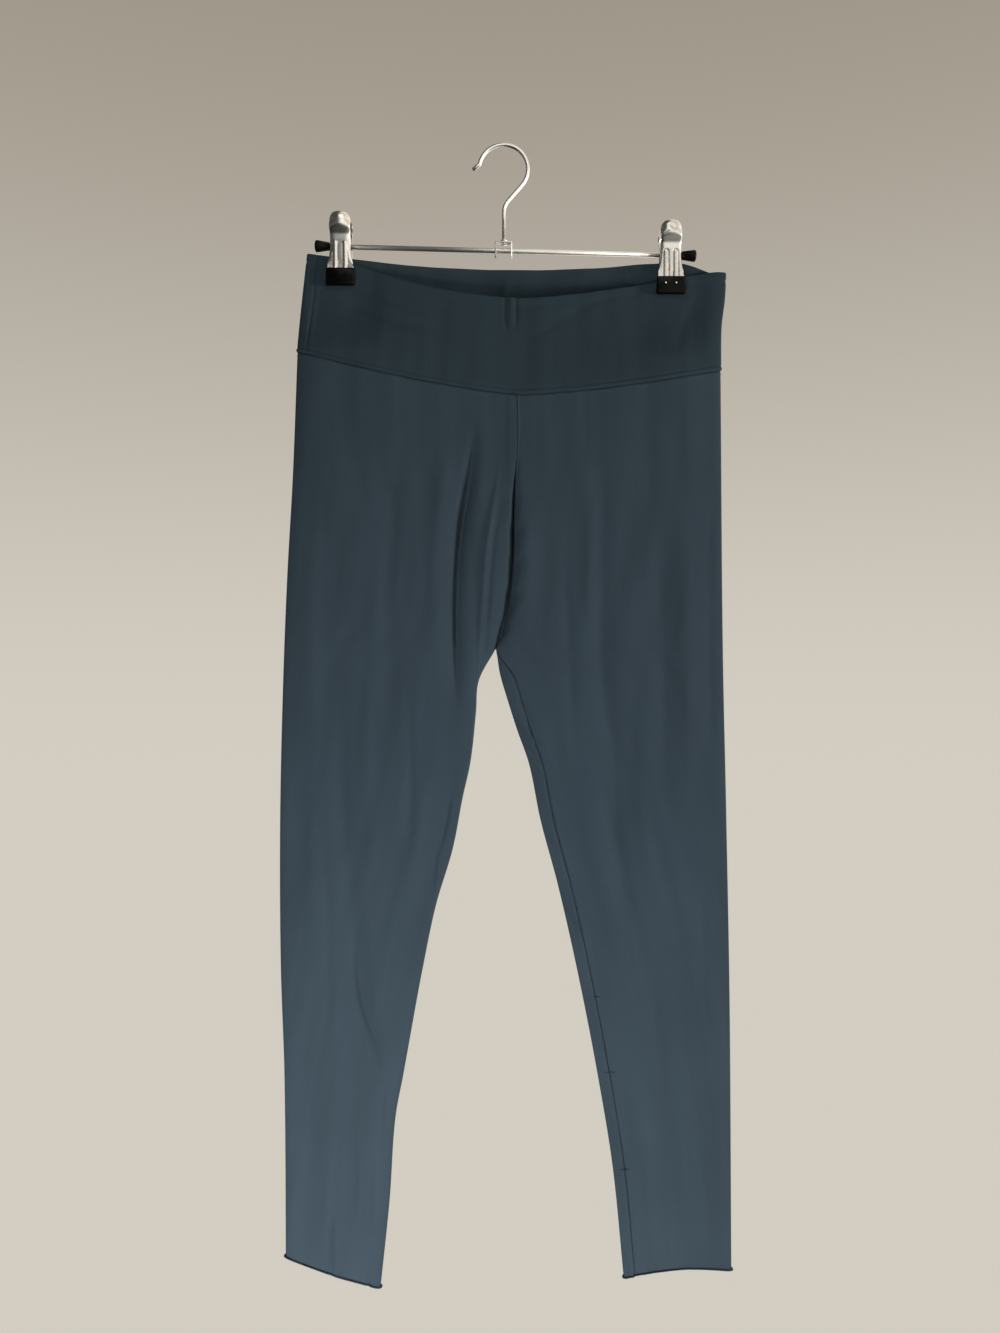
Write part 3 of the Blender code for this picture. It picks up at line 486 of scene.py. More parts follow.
def curve_at(points, at):
    """A smooth curve through (at, value) points in either order, held level past its ends."""
    rows = np.array(sorted((float(p[0]), float(p[1])) for p in points))
    places, values = rows[:, 0], rows[:, 1]
    chords = np.diff(values) / np.diff(places)
    slopes = np.concatenate(([chords[0]], (chords[1:] + chords[:-1]) / 2, [chords[-1]]))
    at = np.clip(at, places[0], places[-1])
    i = np.clip(np.searchsorted(places, at, side="right") - 1, 0, len(places) - 2)
    width = places[i + 1] - places[i]
    t = (at - places[i]) / width
    return (values[i] * (1 + 2 * t) * (1 - t) ** 2 + values[i + 1] * t * t * (3 - 2 * t)
            + width * (slopes[i] * t * (1 - t) ** 2 - slopes[i + 1] * t * t * (1 - t)))


def mix(start, end, share):
    return start + (end - start) * share


def roundness(share):
    """How full a flattened tube is at this share of its width: 0 at a fold, 1 in the middle."""
    share = np.clip(share, 0.0, 1.0)
    return (2 * np.sqrt(share * (1 - share))) ** FOLD_POWER


def bowed(bow, share):
    """How far a line bowed by this much in the middle stands off the straight at each share of it."""
    return bow * 4 * share * (1 - share)


def relief(distance, rows):
    """The summed height of rows of (height, distance, reach)."""
    return sum(height * bell(distance - place, reach) for height, place, reach in rows)


def crease_depth(creases, x, z):
    """How far the creases press the cloth in at each x, z."""
    total = np.zeros(np.broadcast(x, z).shape)
    for number, crease in enumerate(creases):
        (x0, z0), (x1, z1) = crease.line[0], crease.line[-1]
        upright = abs(z1 - z0) > abs(x1 - x0)
        along, across = (z, x) if upright else (x, z)
        path = [(p[1], p[0]) if upright else p for p in crease.line]
        start, end = sorted((path[0][0], path[-1][0]))
        travel = (along - start) / (end - start)
        fade = smoothstep(travel / 0.35) * smoothstep((1 - travel) / 0.35)
        wander = crease.half_width * 0.06 * np.sin(along / 13.0 + number * 1.7)
        swell = 1 + 0.18 * np.sin(along / 29.0 + number * 2.3)
        offset = across - curve_at(path, along) - wander
        total += crease.depth * fade * swell * bell(offset, crease.half_width)
    return total


def ripples(x, z, seed, upright=True):
    """The slight unevenness of hung jersey, from -1 to 1, in long waves that wander."""
    random = np.random.default_rng(seed)
    across, along = (x, z) if upright else (z, x)
    total = np.zeros(np.broadcast(x, z).shape)
    waves = 9
    for _ in range(waves):
        length = random.uniform(14, 60)
        lean = random.uniform(-0.10, 0.10)
        phase, drift = random.uniform(0, 2 * pi, 2)
        swell = random.uniform(150, 420)
        turn = 2 * pi * (across + lean * along) / length + phase
        total += np.sin(turn + 1.6 * np.sin(2 * pi * along / swell + drift)) * (length / 36)
    return total / waves


def stations(length, step, fine_start=False, fine_end=False):
    """Shares of a length at which rows stand, closer together next to a fine end."""
    marks = [0.0, length]
    low, high = 0.0, length
    if fine_start:
        marks += list(FINE_START)
        low = FINE_START[-1]
    if fine_end:
        marks += [length - m for m in FINE_START]
        high = length - FINE_START[-1]
    count = max(1, round((high - low) / step))
    marks += [low + (high - low) * k / count for k in range(count + 1)]
    return np.unique(np.round(np.array(marks) / length, 9))


def travelled(points, axis):
    """Distance along a grid of points from its first row or column."""
    steps = np.linalg.norm(np.diff(points, axis=axis), axis=2)
    start = np.zeros_like(np.take(steps, [0], axis=axis))
    return np.concatenate((start, np.cumsum(steps, axis=axis)), axis=axis)


def normals_of(points, facing):
    """Unit normals of a grid of points whose first half of columns faces the given way along Y."""
    normal = np.cross(np.gradient(points, axis=1), np.gradient(points, axis=0))
    normal /= np.maximum(np.linalg.norm(normal, axis=2, keepdims=True), 1e-9)
    half = normal[:, : normal.shape[1] // 2, 1]
    return normal if half.mean() * facing > 0 else -normal


def sheet_object(name, points, wall, material, uv=None):
    """An open sheet through a grid of points in millimetres, given a wall on both sides of its middle."""
    rows, columns = points.shape[:2]
    if uv is None:
        uv = np.dstack((travelled(points, 1), travelled(points, 0)))
    bm = bmesh.new()
    layer = bm.loops.layers.uv.new("cloth")
    bmesh.ops.create_grid(bm, x_segments=columns - 1, y_segments=rows - 1, size=1)
    spots = {}
    for vertex in bm.verts:
        column = round((vertex.co.x + 1) / 2 * (columns - 1))
        row = round((1 - vertex.co.y) / 2 * (rows - 1))
        spots[vertex.index] = (row, column)
        vertex.co = points[row, column] * MM
    for face in bm.faces:
        for loop in face.loops:
            loop[layer].uv = uv[spots[loop.vert.index]] * MM
    bmesh.ops.recalc_face_normals(bm, faces=bm.faces)
    made = new_piece(name, bm, material)
    thickness = made.modifiers.new("wall", "SOLIDIFY")
    thickness.thickness = wall
    thickness.offset = 0
    thickness.use_even_offset = False
    return made


def new_piece(name, bm, material):
    """Turns a bmesh into a piece of the object that rides on the hanger's body."""
    mesh = bpy.data.meshes.new(name)
    bm.to_mesh(mesh)
    bm.free()
    mesh.shade_smooth()
    mesh.materials.append(material)
    made = bpy.data.objects.new(name, mesh)
    bpy.context.scene.collection.objects.link(made)
    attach(made, BODY)
    return made


# --- the legs ---------------------------------------------
def leg_sheet(leg, down, turn, cloth, seed):
    """Middle of a leg's cloth in millimetres, and how far round from the front it is.

    down runs from 0 at the waist seam through 1 at the crotch to 2 at the hem, and turn goes once round the
    leg from its front seam edge past the side fold to its back seam edge.
    """
    side_sign = 1 if leg.side[0][1] > 0 else -1
    rise = np.minimum(down, 1.0)
    below = np.maximum(down - 1.0, 0.0)
    in_leg = below > 0

    def height(top, hem):
        return np.where(in_leg, mix(CROTCH[1], hem, below), mix(top, CROTCH[1], rise))

    inner_z = height(WAIST_FRONT, leg.inner_hem)
    back_z = height(WAIST_BACK, leg.inner_hem)
    outer_z = height(leg.waist_side, leg.outer_hem)
    inset = SEAM_GAP + CENTRE_SEAM_OPENING * smoothstep((rise - 0.22) / 0.2)
    centre_x = curve_at(CENTRE_FRONT, inner_z) + side_sign * inset
    inner_x = np.where(in_leg, curve_at(leg.inside, inner_z), centre_x)
    back_x = np.where(in_leg, inner_x, inner_x + CENTRE_BACK_SHIFT * (1 - rise))
    outer_x = curve_at(leg.side, outer_z)
    openness = 1 - smoothstep((rise - 0.45) / 0.55)
    bow = leg.waist_bow * (1 - rise) + leg.hem_bow * below ** 6
    shift = leg.seam_shift * smoothstep(below / SHIFT_RUN)
    shift = shift * np.where(below < SHIFT_RUN, 1, 1 - SHIFT_LOSS * below)
    shift_angle = np.sign(shift) * 2 * np.sqrt(np.minimum(1, np.abs(shift) / np.abs(outer_x - inner_x)))
    angle = turn + shift_angle * np.abs(1 - turn / pi)
    on_back = (angle > pi) != ((angle > 2 * pi) | (angle < 0))
    share = (1 - np.cos(np.abs((angle + pi) % (2 * pi) - pi))) / 2
    start_x = np.where(on_back, back_x, inner_x)
    start_z = np.where(on_back, back_z, inner_z)
    x = mix(start_x, outer_x, share)
    z = mix(start_z, outer_z, share) + bowed(bow, share)
    full = roundness(share)
    full = np.where(share < 0.5, openness + (1 - openness) * full, full)
    flat = smoothstep(full / 0.9)
    strength = cloth.crease_strength
    ripple = ripples(x, z, seed) * cloth.ripple / MM
    reach = curve_at(CLEFT_REACH, z) * (CLEFT_LEFT_SHARE if side_sign > 0 else CLEFT_RIGHT_SHARE)
    reach = reach * (1 + 0.20 * np.sin(z / 4.7) + 0.14 * np.sin(z / 2.3 + 1.0))
    cleft = curve_at(CLEFT_DEPTH, z) * bell(np.abs(x - start_x), reach) * in_front(on_back, rise)
    front_y = -curve_at(FRONT_DEPTH, z) * full + cleft
    front_y += (crease_depth(leg.front_creases, x, z) * strength + ripple) * flat
    back_y = curve_at(BACK_DEPTH, z) * full
    back_y -= (crease_depth(leg.back_creases, x, z) * strength + ripple) * flat
    return np.dstack((x, np.where(on_back, back_y, front_y), z))


def in_front(on_back, rise):
    """1 on the front above the crotch, fading out at the crotch itself."""
    return np.where(on_back, 0.0, 1 - smoothstep((rise - 0.93) / 0.07))


def leg_details(leg, points, cloth):
    """Raises and sinks the cloth along its normals at its seams and its raw hem."""
    normal = normals_of(points, -1)
    across = travelled(points, 1)
    to_end = across[:, -1:] - across
    from_top = travelled(points, 0)
    to_hem = from_top[-1:] - from_top
    low = points[..., 2] < CROTCH[1]
    closed = np.where(low, 1.0, smoothstep((from_top - 60) / 40))
    raised = relief(across, SEAM_EDGE_RELIEF) * closed + relief(to_end, INSEAM_RELIEF)
    raised += relief(from_top, LEG_TOP_RELIEF)
    if leg.name == "leg_right":
        strip = smoothstep((across - 0.8) / 0.8) * smoothstep((9.5 - across) / 2.0)
        raised += BINDING_RELIEF * strip * smoothstep((78 - from_top) / 30)
    else:
        raised += WELT_RELIEF * bell(across - 0.2, 0.9) * smoothstep((90 - from_top) / 30)
    by_seam = np.clip(1 - np.minimum(across, to_end) / 6.0, 0.0, 1.0) ** 0.5 * low
    for height in TACK_HEIGHTS[leg.name]:
        raised -= TACK_PULL * bell(points[..., 2] - height, 1.3) * by_seam
    points = points + normal * raised[..., None]
    radius = cloth.hem_roll / MM * (1 + 0.22 * np.sin(across / 11.0) * np.cos(across / 23.0 + 0.8))
    rolled = np.clip(HEM_ROLLED - to_hem, 0.0, None)
    turn = rolled / radius
    points += normal * (radius * (1 - np.cos(turn)))[..., None]
    points[..., 2] += rolled - radius * np.sin(turn)
    return points, normal


def leg_rows(leg):
    rise_length = abs(CROTCH[1] - WAIST_FRONT)
    leg_length = abs(leg.inner_hem - CROTCH[1])
    rise = stations(rise_length, LEG_ROW_STEP, fine_start=True)
    below = stations(leg_length, LEG_ROW_STEP, fine_end=True)
    return np.concatenate((rise, 1 + below[1:]))[:, None]


class LEGGINGS_OT_legs(bpy.types.Operator):
    """Makes both legs: tubes of single jersey with their inseams, raw hems and creases"""

    bl_idname = "leggings.legs"
    bl_label = "Legs"

    def execute(self, context):
        cloth = context.scene.leggings_cloth
        material = jersey("slate jersey", cloth.leg_colour)
        sewing = thread("seam thread", cloth.thread_colour)
        turns = np.concatenate((pi * np.arange(LEG_FRONT_COLUMNS + 1) / LEG_FRONT_COLUMNS,
                                pi + pi * np.arange(1, LEG_BACK_COLUMNS + 1) / LEG_BACK_COLUMNS))[None, :]
        for seed, leg in enumerate(LEGS):
            points = leg_sheet(leg, leg_rows(leg), turns, cloth, 11 + seed)
            points[0, :, 2] -= WAIST_GAP
            points, normal = leg_details(leg, points, cloth)
            piece = sheet_object(f"{leg.name}_cloth", points, cloth.jersey_wall, material)
            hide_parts(leg.name)
            tacks = inseam_tacks(leg, points, normal, sewing)
        return {"FINISHED"}


def inseam_tacks(leg, points, normal, material):
    """Short rows of tacking stitches that cross the inseam, at its joins."""
    bm = bmesh.new()
    for height in TACK_HEIGHTS[leg.name]:
        row = int(np.argmin(np.abs(points[:, -1, 2] - height)))
        ring = np.concatenate((points[row, -9:-1], points[row, 1:8]))
        out = np.concatenate((normal[row, -9:-1], normal[row, 1:8]))
        line = ring + out * 0.75
        middle = (points[row, -1] + points[row, 0]) / 2
        keep = np.linalg.norm(line - middle, axis=1) < 5.2
        stitch_row(bm, line[keep], 1.3, 1.5, 0.42)
    return new_piece(f"{leg.name}_tacks", bm, material)


def stitch_row(bm, line, pitch, length, radius):
    """Stitches as small beads of thread laid along a line of points in millimetres."""
    gone = np.concatenate(([0.0], np.cumsum(np.linalg.norm(np.diff(line, axis=0), axis=1))))
    count = max(1, int(gone[-1] / pitch))
    at = (np.arange(count) + 0.5) * gone[-1] / count
    for place in at:
        ends = [Vector([np.interp(place + d, gone, line[:, k]) for k in range(3)]) for d in (-0.4, 0.4)]
        along = (ends[1] - ends[0]).normalized()
        turn = along.to_track_quat("X", "Z").to_matrix().to_4x4()
        shape = Matrix.Diagonal((length / 2 * MM, radius * MM, radius * MM, 1.0))
        spot = Matrix.Translation((ends[0] + ends[1]) / 2 * MM)
        bmesh.ops.create_uvsphere(bm, u_segments=6, v_segments=4, radius=1.0, matrix=spot @ turn @ shape)


# --- the waistband ----------------------------------------
def along_waist(x, centre_x, value):
    """value(leg, share) at x, where share is how far x is from the centre to that leg's side fold."""
    values = []
    for leg in LEGS:
        outer_x = curve_at(leg.side, leg.waist_side)
        values.append(value(leg, np.clip((x - centre_x) / (outer_x - centre_x), 0.0, 1.0)))
    return np.where(x < centre_x, *values)


def waist_seam_z(x, back):
    """Height of the waist seam at x, the line that the legs' first rows follow."""
    centre_x = CENTRE_FRONT[0][1] + (CENTRE_BACK_SHIFT if back else 0)
    centre_z = WAIST_BACK if back else WAIST_FRONT
    return along_waist(x, centre_x, lambda leg, share: mix(centre_z, leg.waist_side, share)
                       + bowed(leg.waist_bow, share))


def waist_seam_depth(x, z, back):
    """How far the cloth stands from the hanger's plane along the waist seam."""
    fullness = along_waist(x, CENTRE_FRONT[0][1],
                           lambda leg, share: np.where(share < 0.5, 1.0, roundness(share)))
    return curve_at(BACK_DEPTH if back else FRONT_DEPTH, z) * fullness


def band_top_depth(x, back):
    """How far the band's upper edge stands out: pinched in the clips, open between them."""
    start, end = CLIP_X["right"], CLIP_X["left"]
    bulge = BAND_BULGE_BACK if back else BAND_BULGE_FRONT
    between = np.clip((x - start) / (end - start), 0.0, 1.0)
    opened = PINCHED + bulge * np.sin(pi * between) ** 1.3
    outside = np.where(x < start, (start - x) / (start - RIGHT_FOLD), (x - end) / (LEFT_FOLD - end))
    outside = np.clip(outside, 0.0, 1.0)
    closed = (PINCHED + BAND_SIDE_BULGE * np.sin(pi * outside * 0.5) ** 2) * np.sqrt(1 - outside ** 6)
    return np.where((x > start) & (x < end), opened, closed)


def band_layer(share, back, down):
    """Middle of the band's wall, from the right fold to the left one, down from its top to the seam."""
    top_x = mix(RIGHT_FOLD, LEFT_FOLD, share)
    low_x = mix(LEGS[0].side[0][1], LEGS[1].side[0][1], share)
    top_z = curve_at(BAND_TOP_BACK if back else BAND_TOP_FRONT, top_x)
    low_z = waist_seam_z(low_x, back) + WAIST_GAP
    z = mix(top_z, low_z, down)
    right_x = curve_at(BAND_RIGHT_EDGE, mix(BAND_RIGHT_EDGE[0][0], LEGS[0].waist_side, down))
    left_x = curve_at(BAND_LEFT_EDGE, mix(BAND_LEFT_EDGE[0][0], LEGS[1].waist_side, down))
    x = mix(right_x, left_x, share)
    depth = mix(band_top_depth(top_x, back), waist_seam_depth(low_x, low_z, back), smoothstep(down))
    fade = smoothstep(depth / 3.0)
    creases = BAND_BACK_CREASES if back else BAND_FRONT_CREASES
    free = np.ones_like(depth)
    for clip_x in CLIP_X.values():
        beside = 1 - smoothstep((np.abs(x - clip_x) - PINCH_HALF) / PINCH_FADE)
        jaw_end = BAR_Z + BAR_SLOPE * clip_x + JAW_BOTTOM - JAW_SHADOW
        above = 1 - smoothstep((jaw_end - z) / PINCH_DROP)
        depth = depth + (PINCHED - depth) * beside * above
        gripped = 1 - smoothstep((np.abs(x - clip_x) - PINCH_HALF) / 6)
        free = free * (1 - gripped * (1 - smoothstep((jaw_end - z) / 6)))
    settings = bpy.context.scene.leggings_cloth
    ripple = ripples(x, z, 31 if back else 30) * settings.ripple / MM * 0.8
    pressed = crease_depth(creases, x, z) * settings.crease_strength + ripple
    depth = depth - pressed * free * fade
    return np.dstack((x, depth if back else -depth, z))


def band_sheet(facing, down):
    """One half of the band, whose ends turn round the side folds as far as the side seams."""
    shares = stations(LEFT_FOLD - RIGHT_FOLD, BAND_COLUMN_STEP, fine_start=True, fine_end=True)
    seam = BAND_SEAM_SHARE
    near = shares[(shares > 0) & (shares < seam)]
    if facing < 0:
        own = np.concatenate(([seam], shares[shares > seam]))
        other = np.concatenate((1 - near, [1 - seam]))
    else:
        own = np.concatenate(([1 - seam], shares[::-1][shares[::-1] < 1 - seam]))
        other = np.concatenate((near, [seam]))
    own_side = band_layer(own[None, :], facing > 0, down)
    other_side = band_layer(other[None, :], facing < 0, down)
    return np.concatenate((own_side, other_side), axis=1)


def folded_double(points, normal, wall):
    """Two layers of jersey joined by a rounded fold along the first row of points."""
    apart = wall * LAYER_SHARE
    up = points[0] - points[1]
    up /= np.linalg.norm(up, axis=1, keepdims=True)
    rows = [points[row] + normal[row] * apart for row in range(len(points) - 1, 0, -1)]
    for step in range(1, FOLD_STEPS):
        angle = pi * step / FOLD_STEPS
        rows.append(points[1] + normal[1] * apart * cos(angle) + up * apart * sin(angle) * FOLD_FULLNESS)
    rows += [points[row] - normal[row] * apart for row in range(1, len(points))]
    return np.array(rows)


class LEGGINGS_OT_waistband(bpy.types.Operator):
    """Makes the folded waistband in its front and back halves, with its stitching"""

    bl_idname = "leggings.waistband"
    bl_label = "Waistband"

    def execute(self, context):
        cloth = context.scene.leggings_cloth
        # The band jersey's darker colour is painted shade for the dimmer light on the waistband.
        material = jersey("band jersey", cloth.band_shaded_colour)
        sewing = thread("band thread", cloth.thread_colour)
        down = stations(BAND_HEIGHT, BAND_ROW_STEP, fine_start=True, fine_end=True)[:, None]
        for name, facing in (("waistband_front", -1), ("waistband_back", 1)):
            points = band_sheet(facing, down)
            normal = normals_of(points, facing)
            from_top = travelled(points, 0)
            to_seam = from_top[-1:] - from_top
            across = travelled(points, 1)
            to_end = across[:, -1:] - across
            ridge = mix(BAND_RIDGE_CENTRE, BAND_RIDGE_SIDE, np.abs(points[..., 0]) / 190)
            raised = ridge * bell(to_seam - 2.0, 0.9) + relief(to_seam, BAND_SEAM_RELIEF)
            raised += relief(across, BAND_END_RELIEF) + relief(to_end, BAND_END_RELIEF)
            raised += relief(from_top, BAND_TOP_RELIEF)
            points = points + normal * raised[..., None]
            layers = folded_double(points, normal, cloth.jersey_wall / MM)
            piece = sheet_object(f"{name}_cloth", layers, cloth.jersey_wall, material)
            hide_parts(name)
            stitches = waist_stitches(name, points, normal, to_seam, sewing)
        return {"FINISHED"}


def waist_stitches(name, points, normal, to_seam, material):
    """The needle threads of the waist seam, in one row of stitches just above it."""
    bm = bmesh.new()
    row = int(np.argmin(np.abs(to_seam[:, 20] - 0.8)))
    line = points[row] + normal[row] * 1.02
    stitch_row(bm, line[2:-2], 3.0, 2.1, 0.26)
    if name == "waistband_front":
        for lift in (0.2, 1.1):
            tab = line[(line[:, 0] > 6.6) & (line[:, 0] < 14.2)] - (0.0, 0.2, lift)
            stitch_row(bm, tab, 1.0, 1.3, 0.55)
    return new_piece(f"{name}_stitches", bm, material)


# --- the hanger -------------------------------------------
class LEGGINGS_OT_hanger(bpy.types.Operator):
    """Finishes the hook, bar, saddle, springs and end caps of the hanger"""

    bl_idname = "leggings.hanger"
    bl_label = "Hanger"

    def execute(self, context):
        looks = context.scene.leggings_hanger
        chrome = polished_metal("hook chrome", looks.chrome_colour, 0.30)
        drawn = polished_metal("bar chrome", looks.chrome_colour, 0.44)
        bent = polished_metal("saddle steel", looks.chrome_colour, 0.40)
        spring = polished_metal("spring steel", looks.steel_colour, 0.28)
        caps = moulded("cap plastic", looks.cap_colour, 0.38, 900.0)
        finishes = (("hanger_hook", chrome, "chrome"), ("hook_saddle", bent, "chrome"),
                    ("hanger_bar", drawn, "chrome"), ("bar_cap_right", caps, "black_plastic"),
                    ("bar_cap_left", caps, "black_plastic"), ("clip_right_spring", spring, "clip_steel"),
                    ("clip_left_spring", spring, "clip_steel"))
        for node, material, slot in finishes:
            bm = bmesh.new()
            bm.from_mesh(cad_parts[node].data)
            bmesh.ops.remove_doubles(bm, verts=bm.verts, dist=0.01 * MM)
            piece = new_piece(f"{node}_finished", bm, material)
            piece.data.set_sharp_from_angle(angle=radians(40))
            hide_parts(node)
        return {"FINISHED"}


# --- the clips --------------------------------------------
def clip_origin(clip_x):
    return np.array((clip_x, 0.0, BAR_Z + BAR_SLOPE * clip_x))


def plate_surface(facing, outlined):
    """A pressed steel plate, from its thumb dome down to its end inside the jaw, with two ribs.

    An outlined plate has flat ribs with a groove round each, and a dimple in its dome.
    """
    z = np.linspace(PLATE_TOP, PLATE_END, 92)[:, None]
    share = np.linspace(-1, 1, 57)[None, :]
    x = curve_at(PLATE_HALF, z) * np.sin(share * pi / 2)
    out = curve_at(PLATE_FACE, z) - curve_at(PLATE_FLANGE, z) * np.abs(share) ** 5
    z = z + 0 * x
    away = np.hypot(np.abs(x) - RIB_X, np.clip(z - RIB_TOP, 0.0, None))
    rib = np.sqrt(np.clip(1 - (away / RIB_HALF) ** 2, 0.0, 1.0))
    if outlined:
        out += FLAT_RIB_HEIGHT * rib ** 0.5 - GROOVE_DEPTH * bell(away - RIB_HALF - 0.1, 0.5)
        out -= DIMPLE_DEPTH * bell(x - DIMPLE_X, 3.4) * bell(z - DIMPLE_Z, 3.0)
    else:
        out += RIB_HEIGHT * rib
    out -= STEP_DEPTH * bell(z - STEP_Z, 0.8) * (1 - np.abs(share) ** 4)
    out -= DOME_ROUND * (x / PLATE_HALF[4][1]) ** 2 * smoothstep((z - STEP_Z) / 9)
    return np.dstack((x, facing * out, z))


def jaw_mesh(facing):
    """A moulded jaw: a rounded block, a little narrower at its top, with two round windows."""
    bm = bmesh.new()
    size = (JAW_WIDTH * MM, JAW_DEPTH * MM, (JAW_TOP - JAW_BOTTOM) * MM)
    middle = Vector((0, facing * (JAW_FACE + JAW_DEPTH / 2), (JAW_TOP + JAW_BOTTOM) / 2)) * MM
    bmesh.ops.create_cube(bm, size=1.0, matrix=Matrix.Translation(middle) @ Matrix.Diagonal((*size, 1.0)))
    bmesh.ops.bevel(bm, geom=bm.edges[:], affect="EDGES", offset=JAW_ROUND * MM, segments=5, profile=0.5,
                    material=-1)
    for vertex in bm.verts:
        vertex.co.x *= 1 - JAW_TAPER * (vertex.co.z / MM - JAW_BOTTOM) / (JAW_TOP - JAW_BOTTOM)
    face_y = facing * (JAW_FACE + JAW_DEPTH)
    for x in WINDOW_X:
        ring = bmesh.ops.create_circle(bm, segments=20, radius=WINDOW_RADIUS * MM, cap_ends=False)["verts"]
        turn = Matrix.Rotation(radians(90), 4, "X")
        spot = Matrix.Translation(Vector((x, face_y - facing * 0.15, WINDOW_Z)) * MM)
        bmesh.ops.transform(bm, matrix=spot @ turn, verts=ring)
        edges = [e for e in bm.edges if e.verts[0] in ring and e.verts[1] in ring]
        for scale, out in WINDOW_RINGS:
            grown = bmesh.ops.extrude_edge_only(bm, edges=edges)["geom"]
            ring = [g for g in grown if isinstance(g, bmesh.types.BMVert)]
            edges = [g for g in grown if isinstance(g, bmesh.types.BMEdge)]
            centre = sum((v.co for v in ring), Vector()) / len(ring)
            for vertex in ring:
                vertex.co = centre + (vertex.co - centre) * scale
                vertex.co.y += facing * out * MM
    return bm


def rivet_ends(facing):
    """Bright ends of the two rivets, inside the jaw's windows."""
    bm = bmesh.new()
    for x in WINDOW_X:
        spot = Vector((x, facing * (JAW_FACE + JAW_DEPTH - 0.1), WINDOW_Z)) * MM
        shape = Matrix.Diagonal((RIVET_RADIUS * MM, RIVET_DEPTH * MM, RIVET_RADIUS * MM, 1.0))
        bmesh.ops.create_uvsphere(bm, u_segments=20, v_segments=12, radius=1.0,
                                  matrix=Matrix.Translation(spot) @ shape)
    return bm


def move_to_clip(bm, clip_x):
    bmesh.ops.transform(bm, matrix=Matrix.Translation(Vector(clip_origin(clip_x)) * MM), verts=bm.verts)


class LEGGINGS_OT_clips(bpy.types.Operator):
    """Makes the pressed plates and moulded jaws of both clips"""

    bl_idname = "leggings.clips"
    bl_label = "Clips"

    def execute(self, context):
        looks = context.scene.leggings_hanger
        steel = polished_metal("clip steel", looks.steel_colour, 0.26)
        rubber = moulded("jaw rubber", looks.jaw_colour, 0.16, 700.0)
        for side, clip_x in CLIP_X.items():
            for face, facing in (("front", -1), ("back", 1)):
                points = plate_surface(facing, side == "left") + clip_origin(clip_x)
                name = f"clip_{side}_{face}"
                plate = sheet_object(f"{name}_steel", points, PLATE_WALL * MM, steel)
                rounding = plate.modifiers.new("pressed edge", "BEVEL")
                rounding.width = 0.25 * MM
                rounding.segments = 2
                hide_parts(f"{name}_plate")
                bm = jaw_mesh(facing)
                move_to_clip(bm, clip_x)
                jaw = new_piece(f"{name}_grip", bm, rubber)
                jaw.data.set_sharp_from_angle(angle=radians(50))
                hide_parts(f"{name}_jaw")
        bm = rivet_ends(-1)
        move_to_clip(bm, CLIP_X["left"])
        new_piece("clip_left_rivets", bm, steel)
        return {"FINISHED"}


# --- the stage --------------------------------------------
def area_light(light, stage):
    """A soft light that the camera doesn't see; in_metal says whether polished metal mirrors it."""
    lamp = bpy.data.lights.new(light.name, "AREA")
    lamp.spread = radians(light.spread)
    lamp.shape = "RECTANGLE"
    lamp.size, lamp.size_y = light.size
    lamp.energy = getattr(stage, light.power)
    lamp.color = light.colour
    made = bpy.data.objects.new(light.name, lamp)
    made.location = light.place
    made.rotation_euler = (Vector(light.target) - Vector(light.place)).to_track_quat("-Z", "Y").to_euler()
    made.visible_camera = False
    made.visible_glossy = light.in_metal
    bpy.context.scene.collection.objects.link(made)


def studio_world(stage):
    """A pale backdrop, darker overhead, that lights the cloth weakly.

    Metal mirrors a room that is dim low down and in front, and brightest at the right.
    """
    world = bpy.data.worlds.new("studio")
    world.use_nodes = True
    nodes = Nodes(world.node_tree)
    towards = nodes.node("ShaderNodeTexCoord", {}, {}).outputs["Generated"]
    side, depth, height = nodes.split(towards)
    overhead = nodes.span(height, -0.1, 0.62, 0.0, 1.0)
    colour = nodes.blend(overhead, (*stage.low_colour, 1), (*stage.top_colour, 1))
    rays = nodes.node("ShaderNodeLightPath", {}, {})
    seen, glossy = (Number(nodes, rays.outputs[name]) for name in ("Is Camera Ray", "Is Glossy Ray"))
    room = nodes.span(depth, -0.9, 0.3, stage.room_light, 1.0) * nodes.span(height, -0.75, 0.05, 0.2, 1.0)
    room = room * nodes.span(side, -0.16, 0.18, 0.28, 3.0)
    strength = seen + (1 - seen) * (glossy * room + (1 - glossy) * stage.ambient)
    nodes.feed(world.node_tree.nodes["Background"], {"Color": colour, "Strength": strength})
    bpy.context.scene.world = world


def floor_disc(stage):
    """A round floor that glows like the backdrop, and fades out before it reaches it."""
    bm = bmesh.new()
    bmesh.ops.create_circle(bm, segments=96, radius=FLOOR_RADIUS, cap_ends=True)
    bmesh.ops.translate(bm, vec=(0, 0, stage.floor_height), verts=bm.verts)
    mesh = bpy.data.meshes.new("floor")
    bm.to_mesh(mesh)
    bm.free()
    floor = bpy.data.objects.new("floor", mesh)
    bpy.context.scene.collection.objects.link(floor)
    finish = Finish("pale floor")
    x, y, _ = finish.split(finish.place())
    radius = (x * x + y * y) ** 0.5
    floor.visible_diffuse = floor.visible_glossy = False
    finish.feed(finish.shader, {"Base Color": (*stage.floor_colour, 1), "Roughness": 0.9,
                                "Emission Color": (*stage.low_colour, 1), "Emission Strength": 1.0,
                                "Alpha": finish.span(radius, *FLOOR_FADE, 1.0, 0.0)})
    mesh.materials.append(finish.material)


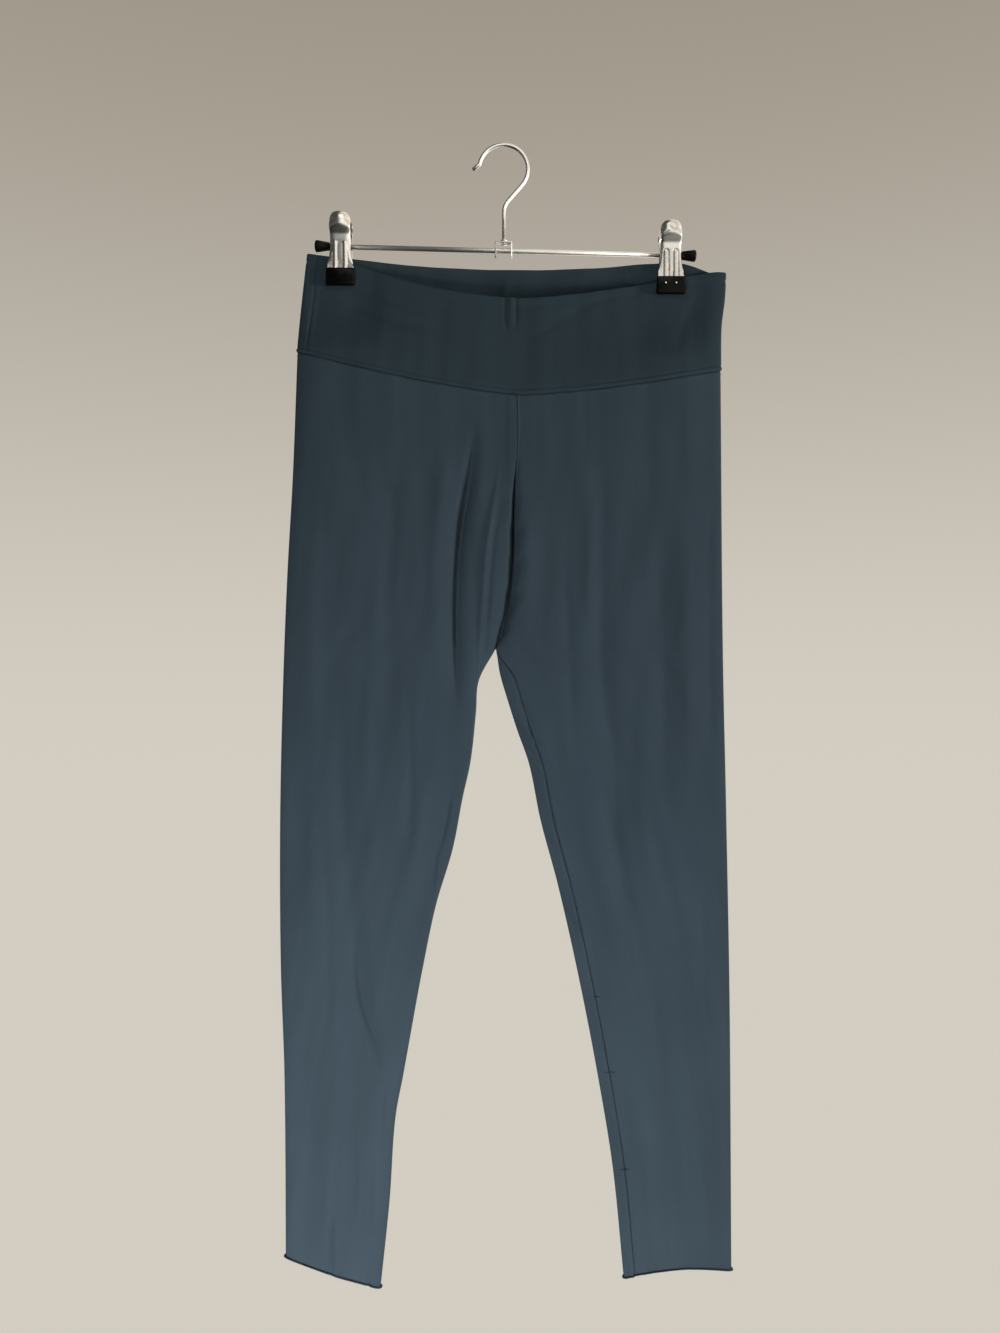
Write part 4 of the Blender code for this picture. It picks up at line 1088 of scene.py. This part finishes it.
class LEGGINGS_OT_stage(bpy.types.Operator):
    """Sets the camera, the soft lights, the pale backdrop and the floor"""

    bl_idname = "leggings.stage"
    bl_label = "Studio"

    def execute(self, context):
        scene = context.scene
        stage = scene.leggings_stage
        camera = bpy.data.cameras.new("camera")
        camera.lens = CAMERA_LENS
        camera.sensor_width = CAMERA_SENSOR
        eye = bpy.data.objects.new("camera", camera)
        eye.location = (CAMERA_X, -stage.camera_distance, CAMERA_Z)
        eye.rotation_euler = (radians(90), 0, 0)
        scene.collection.objects.link(eye)
        scene.camera = eye
        scene.view_settings.view_transform = "Standard"
        for light in LIGHTS:
            area_light(light, stage)
        studio_world(stage)
        floor_disc(stage)
        return {"FINISHED"}


# --- the sidebar panel and registration -------------------
PIECES = (LEGGINGS_OT_legs, LEGGINGS_OT_waistband, LEGGINGS_OT_hanger, LEGGINGS_OT_clips, LEGGINGS_OT_stage)
SETTINGS = {"leggings_cloth": ClothSettings, "leggings_hanger": HangerSettings,
            "leggings_stage": StageSettings}


class LEGGINGS_PT_sidebar(bpy.types.Panel):
    """Lists the pieces of the leggings and their settings"""

    bl_idname = "LEGGINGS_PT_sidebar"
    bl_label = "Leggings"
    bl_space_type = "VIEW_3D"
    bl_region_type = "UI"
    bl_category = "Leggings"

    def draw(self, context):
        for piece in PIECES:
            self.layout.operator(piece.bl_idname)
        for name, group in SETTINGS.items():
            box = self.layout.box()
            for key in group.__annotations__:
                box.prop(getattr(context.scene, name), key)


def register():
    for group in SETTINGS.values():
        bpy.utils.register_class(group)
    for name, group in SETTINGS.items():
        setattr(bpy.types.Scene, name, PointerProperty(type=group))
    for cls in (*PIECES, LEGGINGS_PT_sidebar):
        bpy.utils.register_class(cls)


def unregister():
    for cls in (LEGGINGS_PT_sidebar, *reversed(PIECES)):
        bpy.utils.unregister_class(cls)
    for name, group in SETTINGS.items():
        delattr(bpy.types.Scene, name)
        bpy.utils.unregister_class(group)


def main():
    register()
    bpy.ops.leggings.legs()
    bpy.ops.leggings.waistband()
    bpy.ops.leggings.hanger()
    bpy.ops.leggings.clips()
    bpy.ops.leggings.stage()


if __name__ == "__main__":
    main()
